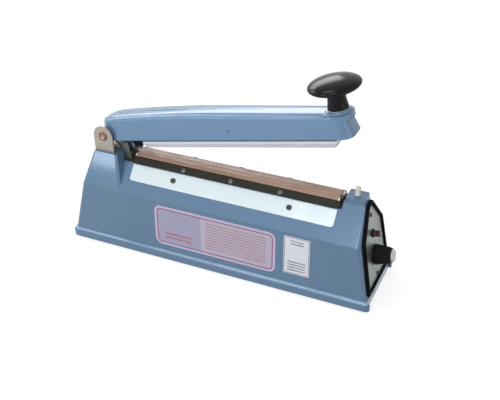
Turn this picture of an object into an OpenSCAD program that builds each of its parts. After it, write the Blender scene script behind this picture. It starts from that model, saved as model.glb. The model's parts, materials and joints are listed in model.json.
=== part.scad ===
// Bench-top impulse heat sealer with a hinged sealing arm, standing on four rubber feet.
// X runs from the rear hinge to the front control panel, Y across, Z up from the table.
// The arm is drawn raised. Lengths along the body are measured from the rear end of its skirt.

/* [Body] */
// Length of the body in front of the seal bar
tower_foot = 43; // [40:0.5:50]
// Width of the body over its skirts
skirt_w = 78; // [74:1:90]
// Height of the skirt
skirt_h = 9; // [7:1:12]
// How far the skirt stands out from the wall above it
skirt_step = 2.5; // [1.5:0.5:4]
// Thickness of the casing wall
wall = 2; // [1.5:0.5:3]
// Height of the side walls, from the skirt's underside to the ridge
ridge_h = 64.5; // [58:0.5:75]
// Width of the body at the ridge
ridge_w = 67.4; // [62:0.5:70]
// Height of the flat deck under the seal bar, above the skirt's underside
deck_h = 88; // [84:0.5:94]
// Width of the deck
deck_w = 25; // [24:0.5:30]
// Lean of the rear end wall
rear_lean = 14.2; // [8:0.1:16]
// Lean of the front end wall and its control panel
front_lean = 9.5; // [5:0.5:14]
// Radius of the casing's upright corners
corner_r = 4; // [2:0.5:5]

/* [Hinge post and front tower] */
// Width of the hinge post's top
post_w = 43; // [41:0.5:48]
// Height of the hinge post's top above the skirt's underside
post_h = 98; // [95:0.5:102]
// Distance of the post top's rear edge from the rear of the skirt
post_rear = 27.2; // [26:0.1:31]
// Length of the post's top
post_top_len = 26.5; // [25:0.5:30]
// Length of the post's foot at the ridge
post_foot_len = 45; // [40:1:50]
// Width of the tower's top
tower_w = 16; // [14:0.5:20]
// Height of the tower's top above the deck
tower_rise = 11; // [8:0.5:13]

/* [Feet and base] */
// Height of the skirt above the table
foot_drop = 3; // [2:0.5:8]
// Radius of a rubber foot
foot_r = 7; // [5:0.5:9]
// Distance of a foot from each end of the body
foot_inset = 22; // [18:1:40]
// Thickness of the bottom plate
base_t = 1.5; // [1:0.5:3]

/* [Seal bar] */
// Length of the seal bar, which sets the length of the body and the arm
bar_len = 213; // [180:1:300]
// Width of the seal bar's flat top
bar_w = 14; // [10:1:16]
// Height of the seal bar
bar_h = 5.8; // [5:0.1:8]
// Thickness of the insulating base under the seal bar
bar_base_t = 2; // [1.5:0.5:3]
// Width of the heating element
element_w = 2; // [1:0.5:5]
// Thickness of the heating element, and of the insulating tape under it
element_t = 0.2; // [0.1:0.05:0.3]
// Thickness of the non-stick cloth
cloth_t = 0.3; // [0.2:0.05:0.5]
// Thickness of the strips that clamp the cloth
clamp_t = 1.2; // [0.8:0.1:2]

/* [Side covers] */
// Height of a side cover, measured up the slope
cover_h = 17; // [12:0.5:18]
// Thickness of a side cover
cover_t = 0.8; // [0.6:0.1:1]

/* [Arm] */
// Angle to which the arm is raised
open_angle = 12; // [6:0.5:16]
// Distance of the hinge pin in front of the post top's rear edge
hinge_in = 11.5; // [10.5:0.5:13.5]
// Height of the hinge pin above the post's top
hinge_rise = 16.6; // [16:0.1:18]
// Radius of the hinge pin
pin_r = 3; // [2:0.5:4]
// How far the arm's nose reaches past the seal bar
nose_reach = 15.5; // [15:0.5:20]
// Width of the arm along its lower edge
arm_w = 31; // [28:0.5:33]
// Width of the arm's top
arm_top_w = 26; // [22:0.5:28]
// Height of the arm above the hinge pin at its highest
arm_top_h = 18.3; // [16.5:0.1:20]
// Height of the arm above the hinge pin at its nose
arm_nose_h = 14.5; // [13:0.1:16]
// Depth of the arm below the hinge pin
arm_drop = 6.8; // [5.5:0.1:7.5]
// Thickness of the arm's casting
arm_wall = 2.5; // [2:0.5:3.5]
// Width of the silicone pad
pad_w = 15; // [10:0.5:18]
// Thickness of the silicone pad
pad_t = 4; // [3:0.5:5]
// Gap between the pad and the cloth when the arm is down
pad_gap = 0.3; // [0.1:0.1:1]
// How far the pad stops short of the seal bar at its rear end
pad_rear_gap = 8.5; // [7:0.5:15]
// How far the pad stops short of the seal bar at its front end
pad_front_gap = 3.5; // [3:0.5:15]

/* [Handle knob] */
// Distance of the knob's axis from the arm's nose
knob_back = 14.3; // [14:0.1:20]
// Radius of the knob's head
knob_r = 23.8; // [18:0.5:28]
// Thickness of the knob's head
knob_head_t = 14; // [12:1:20]
// Height of the middle of the knob's head above the hinge pin, square to the arm
knob_rise = 38.2; // [36:0.1:50]
// Radius of the knob's stem at its foot
stem_r = 9.6; // [8.5:0.1:11]

/* [Control panel] */
// Width of the panel at its foot
panel_foot_w = 61; // [54:0.5:62]
// Width of the panel at its kink
panel_kink_w = 55; // [50:0.5:60]
// Width of the panel's top
panel_top_w = 11; // [9:0.5:13]
// Height of the panel's foot, kink and top, measured up the lean from the skirt's underside
panel_foot_h = 12; // [11:0.5:16]
panel_kink_h = 66.5; // [64:0.5:67]
panel_top_h = 95; // [93:0.5:96]
// Thickness of the panel's black frame
bezel_t = 3; // [2.5:0.5:4]
// Width of the frame's rim
bezel_w = 3; // [2.5:0.5:4]
// Height of the timer knob's axis
timer_h = 39.5; // [32:0.5:44]
// Radius of the timer knob's foot
timer_r = 9.8; // [8:0.2:12]
// Radius of the timer knob's front end
timer_tip_r = 7; // [6:0.2:8]
// Length of the timer knob
timer_len = 16.5; // [12:0.5:20]
// Height of the indicator lamp's axis
lamp_h = 62.5; // [58:0.5:68]
// Radius of the indicator lamp
lamp_r = 3; // [2.5:0.1:5]
// How far the lamp stands out from the panel
lamp_out = 8; // [3:0.5:10]

/* [Hidden] */
$fn = 48;
nudge = 0.01;
fit_gap = 0.25;
run_gap = 0.05;

// Heights above the table
skirt_top_z = foot_drop + skirt_h;
ridge_z = foot_drop + ridge_h;
deck_z = foot_drop + deck_h;
post_z = foot_drop + post_h;
tower_z = deck_z + tower_rise;
hinge_z = post_z + hinge_rise;
bar_z = deck_z + bar_base_t;
bar_top_z = bar_z + bar_h;
cloth_top_z = bar_top_z + 2 * element_t + cloth_t;

// Widths and slopes
wall_w = skirt_w - 2 * skirt_step;
roof_k = (ridge_w - deck_w) / 2 / (deck_z - ridge_z);
roof_angle = atan(1 / roof_k);
post_k = (ridge_w - post_w) / 2 / (post_z - ridge_z);

// Along the body, from the rear of the skirt
rear_run = tan(rear_lean);
front_run = tan(front_lean);
post_front_x = post_rear + post_top_len;
post_foot_rear = rear_at(ridge_z) + 0.05;
base_rear_x = post_front(deck_z) + fit_gap;
rear_foot_len = 6.6;
rear_end_x = base_rear_x + rear_foot_len - 0.5;
bar_x = rear_end_x + 5.2;
bar_front_x = bar_x + bar_len;
cover_x = bar_x;
cover_len = bar_len;
body_len = bar_front_x + tower_foot;
front_x = body_len;
tower_x = bar_front_x + 2.5;
hinge_x = post_rear + hinge_in;

// Panel face and the cap on the timer knob
panel_t = 1.2;
cap_seat = 1.2;
cap_out = 1.9;
cap_taper = 2;

// The part's origin lies under the middle of its overall length
timer_tip_out = timer_len + cap_out + panel_t - bezel_t;
knob_reach = timer_tip_out * cos(front_lean) - (timer_h - timer_tip_r + cap_taper) * sin(front_lean);
centre_x = (body_len + knob_reach) / 2;

// Arm, measured from the hinge pin
pad_face_h = cloth_top_z + pad_gap - hinge_z;
pad_top_h = pad_face_h + pad_t;
pad_s = bar_x - hinge_x + pad_rear_gap;
pad_len = bar_len - pad_rear_gap - pad_front_gap;
arm_len = bar_front_x - hinge_x + nose_reach;
knob_x = arm_len - knob_back;
crown_s = 95;
ear_in = arm_w / 2 + 1.5;
ear_t = 2;
ear_w = 21.5;
bracket_t = 2;
stop_s = pad_s - 9;

// Positions ------------------------------------------------------------------------------

module at_body() translate([-centre_x, 0, 0]) children();

// Arm frame: X along the arm from the hinge pin, Z square to it
module at_arm() at_body() translate([hinge_x, 0, hinge_z]) rotate([0, -open_angle, 0]) children();

// Panel frame: X out of the panel's face, Z up the panel from the skirt's underside
module at_panel() at_body() translate([front_x, 0, foot_drop]) rotate([0, -front_lean, 0]) children();

// Roof slope frame on the near side: X along the body, Y up the slope from the ridge, Z out of it
module at_roof() at_body() translate([0, -ridge_w / 2, ridge_z]) rotate([roof_angle, 0, 0]) children();

module both_sides() {
    children();
    mirror([0, 1, 0]) children();
}

// A screw that stands along +Z with its head's underside at zero
module pan_screw(r, head_r, head_h, len) {
    difference() {
        union() {
            cylinder(r = head_r, h = head_h * 0.55);
            translate([0, 0, head_h * 0.55 - nudge]) cylinder(r1 = head_r, r2 = head_r * 0.72, h = head_h * 0.45);
            translate([0, 0, -len]) cylinder(r = r, h = len + nudge);
        }
        for (a = [0, 90]) {
            rotate([0, 0, a]) translate([-head_r * 0.6, -head_r * 0.13, head_h * 0.5])
                cube([head_r * 1.2, head_r * 0.26, head_h]);
        }
    }
}

// Casing ---------------------------------------------------------------------------------

function rear_at(z) = skirt_step + (z - skirt_top_z) * rear_run;
function post_front(z) = post_front_x + (post_foot_rear + post_foot_len - post_front_x) * (post_z - z) / (post_z - ridge_z);
function front_at(z) = front_x - (z - foot_drop) * front_run - bezel_t / cos(front_lean);

// Four rounded corners of one level of the casing
module level(z, width, x_low, x_high, r, h = nudge) {
    for (x = [x_low + r, x_high - r]) {
        for (y = [-width / 2 + r, width / 2 - r]) {
            translate([x, y, z]) cylinder(r = r, h = h, $fn = 32);
        }
    }
}

module skirt() {
    difference() {
        hull() {
            level(foot_drop, skirt_w, 0, front_x, corner_r + 1, skirt_h - 2);
            level(skirt_top_z - nudge, skirt_w - 3, 1.5, front_x - 1.5, corner_r - 0.5);
        }
        translate([front_at(foot_drop), -wall_w / 2 + 1, 0]) cube([2 * corner_r + 10, wall_w - 2, 40]);
    }
}

module body_shape() {
    hull() {
        level(foot_drop, wall_w, rear_at(foot_drop), front_at(foot_drop), corner_r);
        level(ridge_z, ridge_w, rear_at(ridge_z), front_at(ridge_z), corner_r);
        level(deck_z - nudge, deck_w, rear_at(deck_z) + 1, front_at(deck_z), 1.5);
    }
}

module post_shape() {
    hull() {
        level(ridge_z, ridge_w - 0.1, post_foot_rear, post_foot_rear + post_foot_len, corner_r);
        level(post_z - nudge, post_w, post_rear, post_rear + post_top_len, 2.5);
    }
}

module tower_shape() {
    low_z = deck_z - 5;
    top_z = deck_z + (deck_w - tower_w) / 2 / roof_k;
    hull() {
        level(low_z, deck_w + 10 * roof_k, tower_x, front_at(low_z), 1.5);
        level(top_z, tower_w, tower_x + 1, front_at(top_z), 1.5);
    }
    hull() {
        level(deck_z - 4, tower_w, tower_x + 1, front_at(deck_z - 4), 2);
        level(tower_z - nudge, tower_w, tower_x + 3, front_at(tower_z), 2);
    }
}

// Hollow of the casing: flat-sided, open at the bottom
module hollow() {
    low = wall_w / 2 - wall;
    high = ridge_w / 2 - wall * 1.05;
    top = deck_w / 2 - wall * 0.6;
    top_z = deck_z - wall;
    intersection() {
        rotate([90, 0, 90]) linear_extrude(height = body_len)
            polygon([[-low, -1], [low, -1], [high, ridge_z], [top, top_z], [-top, top_z], [-high, ridge_z]]);
        translate([0, skirt_w / 2, 0]) rotate([90, 0, 0]) linear_extrude(height = skirt_w)
            polygon([[rear_at(-1) + wall, -1], [front_at(-1) - wall, -1],
                [front_at(deck_z) - wall, deck_z], [rear_at(deck_z) + wall, deck_z]]);
    }
}

// Shallow seat and screw holes for one side cover
module cover_seat() {
    translate([cover_x, cover_low, -cover_t]) linear_extrude(height = 10) cover_outline(fit_gap);
    for (x = cover_screw_x) {
        translate([x, cover_low + cover_h * 0.52, -8]) cylinder(r = 1.25, h = 8);
    }
}

seat_ease = 0.1;
cover_top_gap = 0.9;
cover_low = (deck_z - ridge_z) / sin(roof_angle) - cover_top_gap - cover_h;
cover_screw_x = [cover_x + cover_len * 0.22, cover_x + cover_len * 0.79];
plunger_r = 2.6;
plunger_x = front_at(tower_z) - 9;
bushing_z = 34;
bushing_r = 6;

module casing() {
    color("steelblue") difference() {
        at_body() {
            skirt();
            body_shape();
            post_shape();
            tower_shape();
        }
        difference() {
            at_body() hollow();
            // Lugs that take the bottom plate's screws
            at_body() base_screw_places() translate([-5, -5, base_t]) cube([10, 10, 7]);
        }
        // Room inside the post and the tower
        at_body() translate([post_rear + 5, -12, deck_z - 20]) cube([post_top_len - 9, 24, post_h - deck_h + 17]);
        at_body() translate([plunger_x, 0, deck_z - 6]) cylinder(r = 5, h = tower_rise + 6 - wall);
        at_body() translate([plunger_x, 0, deck_z]) cylinder(r = plunger_r + run_gap, h = 20);
        at_body() base_screw_places() translate([0, 0, base_t - 1]) cylinder(r = 1.5, h = 7);
        // Seats of the side covers
        at_roof() cover_seat();
        mirror([0, 1, 0]) at_roof() cover_seat();
        // Hole in the front wall, behind the panel
        at_panel() translate([-bezel_t - 20, -20, panel_foot_h + 8]) cube([30, 40, 58]);
        // Screw holes of the panel, the hinge bracket, the bar and its end brackets
        at_panel() panel_screw_places() translate([0, 0, -12]) cylinder(r = 1.1, h = 20);
        at_body() bracket_screw_places() translate([0, 0, -12]) cylinder(r = 1.6, h = 20);
        at_body() end_screw_places() translate([0, 0, -8]) cylinder(r = 1.6, h = 12);
        // Cord inlet
        at_body() translate([rear_at(bushing_z), 0, bushing_z]) rotate([0, rear_lean - 90, 0])
            translate([0, 0, -10]) cylinder(r = bushing_r, h = 20);
        // Room for the bottom plate
        at_body() translate([rear_at(foot_drop) + wall - seat_ease, -wall_w / 2 + wall, 0])
            cube([front_at(foot_drop) - rear_at(foot_drop) - 2 * wall + 2 * seat_ease, wall_w - 2 * wall, foot_drop + base_seat]);
    }
}

// Base -----------------------------------------------------------------------------------

base_seat = base_t + 1;
plate_low_z = foot_drop + 1;

module foot_places() {
    for (x = [foot_inset, body_len - foot_inset]) {
        for (y = [-1, 1]) {
            translate([x, y * (wall_w / 2 - wall - foot_r - 3), 0]) children();
        }
    }
}

module base_screw_places() {
    for (x = [body_len * 0.25, body_len * 0.75]) {
        for (y = [-1, 1]) {
            translate([x, y * (wall_w / 2 - wall - 4.5), plate_low_z]) children();
        }
    }
}

module bottom_plate() {
    plate_len = front_at(foot_drop) - rear_at(foot_drop) - 2 * wall - 2 * fit_gap;
    plate_w = wall_w - 2 * wall - 2 * fit_gap;
    color("darkgray") at_body() difference() {
        translate([rear_at(foot_drop) + wall + fit_gap, -plate_w / 2, plate_low_z]) cube([plate_len, plate_w, base_t]);
        base_screw_places() translate([0, 0, -1]) cylinder(r = 1.6, h = 9);
        foot_places() translate([0, 0, plate_low_z - 1]) cylinder(r = 1.9, h = base_t + 2);
        // Holes of the transformer frame and the terminal block
        transformer_screw_places() translate([0, 0, -4]) cylinder(r = 1.6, h = 8);
    }
}

module base_screws() {
    color("silver") at_body() base_screw_places() rotate([180, 0, 0]) pan_screw(1.45, 2.6, 0.9, 7);
}

module rubber_feet() {
    color("dimgray") at_body() foot_places() difference() {
        cylinder(r1 = foot_r - 0.6, r2 = foot_r, h = plate_low_z);
        translate([0, 0, -1]) cylinder(r = 3.4, h = plate_low_z / 2 + 1);
        cylinder(r = 1.9, h = plate_low_z + 1);
    }
}

module foot_screws() {
    head_z = plate_low_z / 2;
    color("silver") at_body() foot_places() {
        translate([0, 0, head_z]) rotate([180, 0, 0]) pan_screw(1.6, 3.1, 1.2, plate_low_z - head_z + base_t + 3);
        translate([0, 0, plate_low_z + base_t]) difference() {
            cylinder(r = 3.2, h = 2.4, $fn = 6);
            translate([0, 0, -1]) cylinder(r = 1.6, h = 5);
        }
    }
}

// Side covers ----------------------------------------------------------------------------

module cover_outline(grow) {
    r = 3;
    // Square at the top, with two rounded lower corners
    translate([-grow, r]) square([cover_len + 2 * grow, cover_h - r + grow]);
    translate([r, -grow]) square([cover_len - 2 * r, cover_h]);
    for (x = [r, cover_len - r]) {
        translate([x, r]) circle(r = r + grow);
    }
}

module side_cover() {
    difference() {
        translate([cover_x, cover_low, -cover_t]) linear_extrude(height = cover_t) cover_outline(0);
        for (x = cover_screw_x) {
            translate([x, cover_low + cover_h * 0.52, -8]) cylinder(r = 1.5, h = 20);
        }
    }
}

module side_cover_near() {
    color("whitesmoke") at_roof() side_cover();
}

module side_cover_far() {
    color("whitesmoke") mirror([0, 1, 0]) at_roof() side_cover();
}

module cover_screws_one_side() {
    at_roof() {
        for (x = cover_screw_x) {
            translate([x, cover_low + cover_h * 0.52, 0]) pan_screw(1.2, 2.6, 1.5, 4.5);
        }
    }
}

module side_cover_screws() {
    color("dimgray") both_sides() cover_screws_one_side();
}

// Seal bar -------------------------------------------------------------------------------

// Half-width of the bar's side at a height, moved out square to the side by an amount
function bar_y(z, out) = bar_w / 2 + (bar_top_z - z) * roof_k + out * sqrt(1 + roof_k * roof_k);

module along_bar(x, len) {
    at_body() translate([x, 0, 0]) rotate([90, 0, 90]) linear_extrude(height = len) children();
}

clamp_low_z = bar_z - 0.8;
clamp_high_z = bar_top_z - 1.6;
clamp_screw_x = [bar_x + bar_len * 0.263, bar_x + bar_len * 0.5, bar_x + bar_len * 0.737];

module bar_base() {
    color("saddlebrown") difference() {
        along_bar(base_rear_x, bar_front_x + 2 - base_rear_x) translate([-deck_w / 2 + 0.5, deck_z]) square([deck_w - 1, bar_base_t]);
        at_body() end_screw_places() translate([0, 0, -8]) cylinder(r = 1.6, h = 20);
        both_sides() clamp_screw_places() translate([0, 0, -5]) cylinder(r = 1.3, h = 10);
    }
}

module seal_bar() {
    top = bar_w / 2;
    foot = min(bar_y(bar_z, 0), deck_w / 2 - 0.5);
    knee_z = bar_top_z - (foot - top) / roof_k;
    color("silver") difference() {
        along_bar(bar_x, bar_len) polygon([[-foot, bar_z], [foot, bar_z], [foot, knee_z], [top, bar_top_z],
            [-top, bar_top_z], [-foot, knee_z]]);
        both_sides() clamp_screw_places() translate([0, 0, -5]) cylinder(r = 1.2, h = 10);
    }
}

module element_tape() {
    color("tan") along_bar(bar_x, bar_len) translate([-bar_w / 2 + 1, bar_top_z]) square([bar_w - 2, element_t]);
}

// Ribbon along the bar, bent down over each end to its bracket
module heating_element() {
    rear_x = rear_end_x + 1.2;
    end_x = front_end_x + 1.4;
    low_z = bar_z + 1.5;
    top_z = bar_top_z + element_t;
    color("gray") along_element() {
        translate([rear_x, top_z]) square([end_x + element_t - rear_x, element_t]);
        for (x = [rear_x, end_x]) {
            translate([x, low_z]) square([element_t, top_z - low_z + nudge]);
        }
    }
}

module along_element() {
    at_body() translate([0, element_w / 2, 0]) rotate([90, 0, 0]) linear_extrude(height = element_w) children();
}

module ptfe_cloth() {
    low_z = clamp_low_z + 1.2;
    top_z = cloth_top_z - cloth_t;
    edge = bar_w / 2;
    color("peru") difference() {
        along_bar(bar_x + 1, bar_len - 2) polygon([
            [-edge, top_z], [edge, top_z], [edge + 0.3, bar_top_z],
            [bar_y(low_z, 0.02), low_z], [bar_y(low_z, cloth_t), low_z], [bar_y(cloth_top_z - 0.5, cloth_t), cloth_top_z - 0.5],
            [edge - 0.2, cloth_top_z], [-edge + 0.2, cloth_top_z],
            [-bar_y(cloth_top_z - 0.5, cloth_t), cloth_top_z - 0.5], [-bar_y(low_z, cloth_t), low_z],
            [-bar_y(low_z, 0.02), low_z], [-edge - 0.3, bar_top_z]]);
        both_sides() clamp_screw_places() translate([0, 0, -5]) cylinder(r = 1.3, h = 10);
    }
}

module clamp_screw_places() {
    mid_z = (clamp_low_z + clamp_high_z) / 2;
    for (x = clamp_screw_x) {
        at_body() translate([x, -bar_y(mid_z, cloth_t + clamp_t), mid_z]) rotate([roof_angle, 0, 0]) children();
    }
}

module cloth_clamp() {
    difference() {
        along_bar(bar_x, bar_len) polygon([
            [-bar_y(clamp_low_z, cloth_t), clamp_low_z], [-bar_y(clamp_high_z, cloth_t), clamp_high_z],
            [-bar_y(clamp_high_z, cloth_t + clamp_t), clamp_high_z], [-bar_y(clamp_low_z, cloth_t + clamp_t), clamp_low_z]]);
        clamp_screw_places() translate([0, 0, -5]) cylinder(r = 1.3, h = 10);
    }
}

module cloth_clamp_near() {
    color("#3a382f") cloth_clamp();
}

module cloth_clamp_far() {
    color("#3a382f") mirror([0, 1, 0]) cloth_clamp();
}

module cloth_clamp_screws() {
    color("silver") both_sides() clamp_screw_places() pan_screw(1.15, 2.3, 1.3, 4);
}

// Brackets that hold the element's ends --------------------------------------------------

front_end_x = bar_front_x + 0.6;
end_half = 9.5;

module end_screw_places() {
    translate([rear_end_x - 3.4, 0, bar_z]) children();
}

// Two cheeks on a foot that is screwed to the bar's insulating base
module rear_end_bracket() {
    top_z = hinge_z - arm_drop - 1.2;
    lean = 4.5;
    color("darkgray") at_body() difference() {
        union() {
            translate([rear_end_x + 1 - rear_foot_len, -end_half, bar_z]) cube([rear_foot_len, 2 * end_half, 1.5]);
            for (y = [-end_half + 1.5, end_half]) {
                translate([0, y, 0]) rotate([90, 0, 0]) linear_extrude(height = 1.5)
                    polygon([[rear_end_x + 1 - rear_foot_len, bar_z], [rear_end_x + 1, bar_z], [rear_end_x + 1 - lean, top_z],
                        [rear_end_x - 7 - lean, top_z - 2], [rear_end_x - 7 - lean, post_z + 3.5],
                        [rear_end_x + 1 - rear_foot_len, post_z - 2]]);
            }
            translate([0, end_half, 0]) rotate([90, 0, 0]) linear_extrude(height = 2 * end_half)
                polygon([[rear_end_x - 0.6, bar_z], [rear_end_x + 1, bar_z], [rear_end_x - 0.2, bar_z + 6],
                    [rear_end_x - 1.8, bar_z + 6]]);
        }
        end_screw_places() translate([0, 0, -8]) cylinder(r = 1.65, h = 20);
    }
}

// Small angle that holds the element's front end against the tower
module front_end_bracket() {
    color("darkgray") at_body() translate([front_end_x, -4, bar_z]) cube([1.2, 8, 5]);
}

module end_bracket_screws() {
    color("silver") at_body() {
        end_screw_places() translate([0, 0, 1.5]) pan_screw(1.5, 2, 1.4, 8);
    }
}

// Hinge ----------------------------------------------------------------------------------

module bracket_screw_places() {
    for (y = [-1, 1]) {
        translate([hinge_x + 7, y * 13, post_z]) children();
    }
}

module hinge_bracket() {
    outer = ear_in + ear_t;
    color("#aaa39a") at_body() difference() {
        union() {
            translate([hinge_x - ear_w / 2 + 1, -outer, post_z]) cube([ear_w - 1, 2 * outer, bracket_t]);
            for (y = [-outer, ear_in]) {
                translate([hinge_x, y, hinge_z]) rotate([-90, 0, 0]) cylinder(r = ear_w / 2, h = ear_t);
                translate([hinge_x - ear_w / 2, y, post_z]) cube([ear_w, ear_t, hinge_rise]);
            }
        }
        translate([hinge_x, -outer - 1, hinge_z]) rotate([-90, 0, 0]) cylinder(r = pin_r + run_gap, h = 2 * outer + 2);
        bracket_screw_places() translate([0, 0, -1]) cylinder(r = 1.8, h = bracket_t + 2);
    }
}

module hinge_bracket_screws() {
    color("silver") at_body() bracket_screw_places() translate([0, 0, bracket_t]) pan_screw(1.5, 2.9, 1.8, bracket_t + 8);
}

pin_reach = ear_in + ear_t;
clip_t = 0.8;

module hinge_pin() {
    color("#7a4a3c") at_body() translate([hinge_x, 0, hinge_z]) rotate([90, 0, 0]) {
        translate([0, 0, -pin_reach - 2.4]) difference() {
            cylinder(r = pin_r, h = 2 * pin_reach + 2.4);
            // Groove of the clip
            translate([0, 0, 2.4 - clip_t - 0.2]) difference() {
                cylinder(r = pin_r + 1, h = clip_t + 0.1);
                translate([0, 0, -1]) cylinder(r = pin_r - 0.7, h = 4);
            }
        }
        translate([0, 0, pin_reach]) cylinder(r1 = pin_r + 1.6, r2 = pin_r + 1, h = 1.2);
    }
}

module pin_clip() {
    color("dimgray") at_body() translate([hinge_x, pin_reach + 0.15, hinge_z]) rotate([-90, 0, 0]) difference() {
        cylinder(r = pin_r + 2.6, h = clip_t);
        translate([0, 0, -1]) cylinder(r = pin_r - 0.65, h = 4);
        translate([-pin_r + 0.9, 0, -1]) cube([2 * pin_r - 1.8, pin_r + 4, 4]);
    }
}

module hinge_washers() {
    thick = ear_in - arm_w / 2 - 0.2;
    color("silver") at_body() both_sides() translate([hinge_x, ear_in, hinge_z]) rotate([90, 0, 0]) difference() {
        cylinder(r = 5.5, h = thick);
        translate([0, 0, -1]) cylinder(r = pin_r + run_gap, h = 5);
    }
}

// Torsion spring round the pin: one leg rests on the bracket, the other lifts the arm
spring_wire = 0.9;
spring_r = 5.2;
spring_half = 6;
spring_steps = 87;

function spring_path() = [
    [11, -spring_half, -hinge_rise + bracket_t + spring_wire + 0.25],
    for (i = [0 : spring_steps])
        let (a = 235 - 18 * i)
        [spring_r * cos(a), -spring_half + 2 * spring_half * i / spring_steps, spring_r * sin(a)],
    [12.3, spring_half, 11.8]];

module swept_wire(path, r, sides) {
    last = len(path) - 1;
    rings = [for (i = [0 : last])
        let (
            ahead = path[min(i + 1, last)] - path[max(i - 1, 0)],
            t = ahead / norm(ahead),
            u0 = cross(t, [0, 1, 0.01]),
            u = u0 / norm(u0),
            v = cross(t, u))
        for (k = [0 : sides - 1]) path[i] + r * (cos(k * 360 / sides) * u + sin(k * 360 / sides) * v)];
    polyhedron(rings, concat(
        [[for (k = [0 : sides - 1]) k]],
        [[for (k = [sides - 1 : -1 : 0]) last * sides + k]],
        [for (i = [0 : last - 1]) for (k = [0 : sides - 1])
            [i * sides + k, (i + 1) * sides + k, (i + 1) * sides + (k + 1) % sides, i * sides + (k + 1) % sides]]));
}

module return_spring() {
    color("silver") at_body() translate([hinge_x, 0, hinge_z]) swept_wire(spring_path(), spring_wire, 8);
}

// Arm ------------------------------------------------------------------------------------

channel_w = arm_top_w - 2 * arm_wall + 0.4;
nose_r = 10.5;
arm_rear = 9.5;

module arm_outside() {
    half = arm_w / 2;
    top_half = arm_top_w / 2;
    edge_r = 1.6;
    rear_r = 8;
    hull() {
        for (y = [-1, 1]) {
            // Lower edge, rear and nose
            translate([8 - arm_rear, y * (half - 8), -arm_drop]) cylinder(r1 = 7, r2 = 8, h = 1.2, $fn = 32);
            translate([arm_len - nose_r, y * (half - nose_r), -arm_drop]) cylinder(r1 = nose_r - 1.2, r2 = nose_r, h = 1.5, $fn = 40);
            // Top edge: rear end, highest stretch and nose
            translate([1, y * (top_half - rear_r), arm_top_h - 3.5 - rear_r]) sphere(r = rear_r, $fn = 32);
            translate([38, y * (top_half - edge_r), arm_top_h - 1.7 - edge_r]) sphere(r = edge_r, $fn = 24);
            translate([crown_s, y * (top_half - edge_r), arm_top_h - edge_r]) sphere(r = edge_r, $fn = 24);
            translate([knob_x + 1, y * (top_half - 8.5), arm_nose_h - 1.4]) cylinder(r1 = 8.5, r2 = 7.6, h = 1.4, $fn = 32);
        }
    }
}

module arm_inside() {
    front = knob_x + 6;
    rear = -arm_rear + 3.5;
    coil_room = spring_r + spring_wire + 0.8;
    top = [[rear, -4], [-2.5, 4], [3, arm_top_h - 6 - arm_wall], [crown_s, arm_top_h - arm_wall - 0.6],
        [front, arm_nose_h - arm_wall - 0.4]];
    translate([0, channel_w / 2, 0]) rotate([90, 0, 0]) linear_extrude(height = channel_w)
        polygon(concat([[rear, -arm_drop - 1]], top, [[front, -arm_drop - 1]]));
    // Room for the spring's coil
    rotate([90, 0, 0]) cylinder(r = coil_room, h = 2 * spring_half + 3.2, center = true);
}

holder_pin_s = pad_s + pad_len / 2;
holder_pin_h = 3.2;
holder_pin_r = 2;

module arm_casting() {
    color("steelblue") at_arm() difference() {
        union() {
            arm_outside();
            // Boss under the knob
            translate([knob_x, 0, arm_nose_h - 4]) cylinder(r = stem_r + 2, h = 5);
            translate([knob_x, 0, arm_nose_h + 1 - nudge]) cylinder(r1 = stem_r + 2, r2 = stem_r + 0.9, h = 1.1);
        }
        arm_inside();
        translate([0, arm_w, 0]) rotate([90, 0, 0]) cylinder(r = pin_r + run_gap, h = 2 * arm_w);
        translate([holder_pin_s, arm_w, holder_pin_h]) rotate([90, 0, 0]) cylinder(r = holder_pin_r + 0.02, h = 2 * arm_w);
        translate([knob_x, 0, -arm_drop]) cylinder(r = stud_r + run_gap, h = 60);
    }
}

module pad_holder() {
    lug = [12, channel_w - 0.3];
    low = pad_top_h;
    high = holder_pin_h + holder_pin_r + 3;
    color("lightgray") at_arm() difference() {
        union() {
            translate([pad_s - 1, -pad_w / 2 - 0.8, low]) cube([pad_len + 2, pad_w + 1.6, -2 - low]);
            for (s = [pad_s + 20, holder_pin_s, pad_s + pad_len - 20]) {
                translate([s - lug[0] / 2, -lug[1] / 2, -4]) cube([lug[0], lug[1], high + 4]);
            }
        }
        translate([holder_pin_s, arm_w, holder_pin_h]) rotate([90, 0, 0]) cylinder(r = holder_pin_r + 0.02, h = 2 * arm_w);
    }
}

module holder_pin() {
    reach = arm_w / 2 - 0.5;
    color("silver") at_arm() translate([holder_pin_s, reach, holder_pin_h]) rotate([90, 0, 0]) {
        cylinder(r = holder_pin_r, h = 2 * reach);
        for (z = [-0.8, 2 * reach]) {
            translate([0, 0, z]) cylinder(r = holder_pin_r - 0.4, h = 0.8);
        }
    }
}

module silicone_pad() {
    round_r = 2;
    color("gainsboro") at_arm() translate([pad_s, pad_w / 2, pad_face_h]) rotate([90, 0, 0]) linear_extrude(height = pad_w)
        union() {
            translate([0, round_r]) square([pad_len, pad_t - round_r]);
            translate([round_r, 0]) square([pad_len - 2 * round_r, pad_t]);
            for (x = [round_r, pad_len - round_r]) {
                translate([x, round_r]) circle(r = round_r);
            }
        }
}

// Rubber block between the hinge and the pad, wedged in the arm's channel
module arm_stop() {
    low = pad_face_h + 2.3;
    color("#1c1c1c") at_arm() translate([stop_s, -channel_w / 2 + 0.1, low])
        cube([pad_s - stop_s - 1.6, channel_w - 0.2, 6 - low]);
}

// Handle knob ----------------------------------------------------------------------------

stud_r = 3;
collar_h = 0.8;
boss_top_h = arm_nose_h + 2.1;
stem_low = boss_top_h + collar_h;

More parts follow.
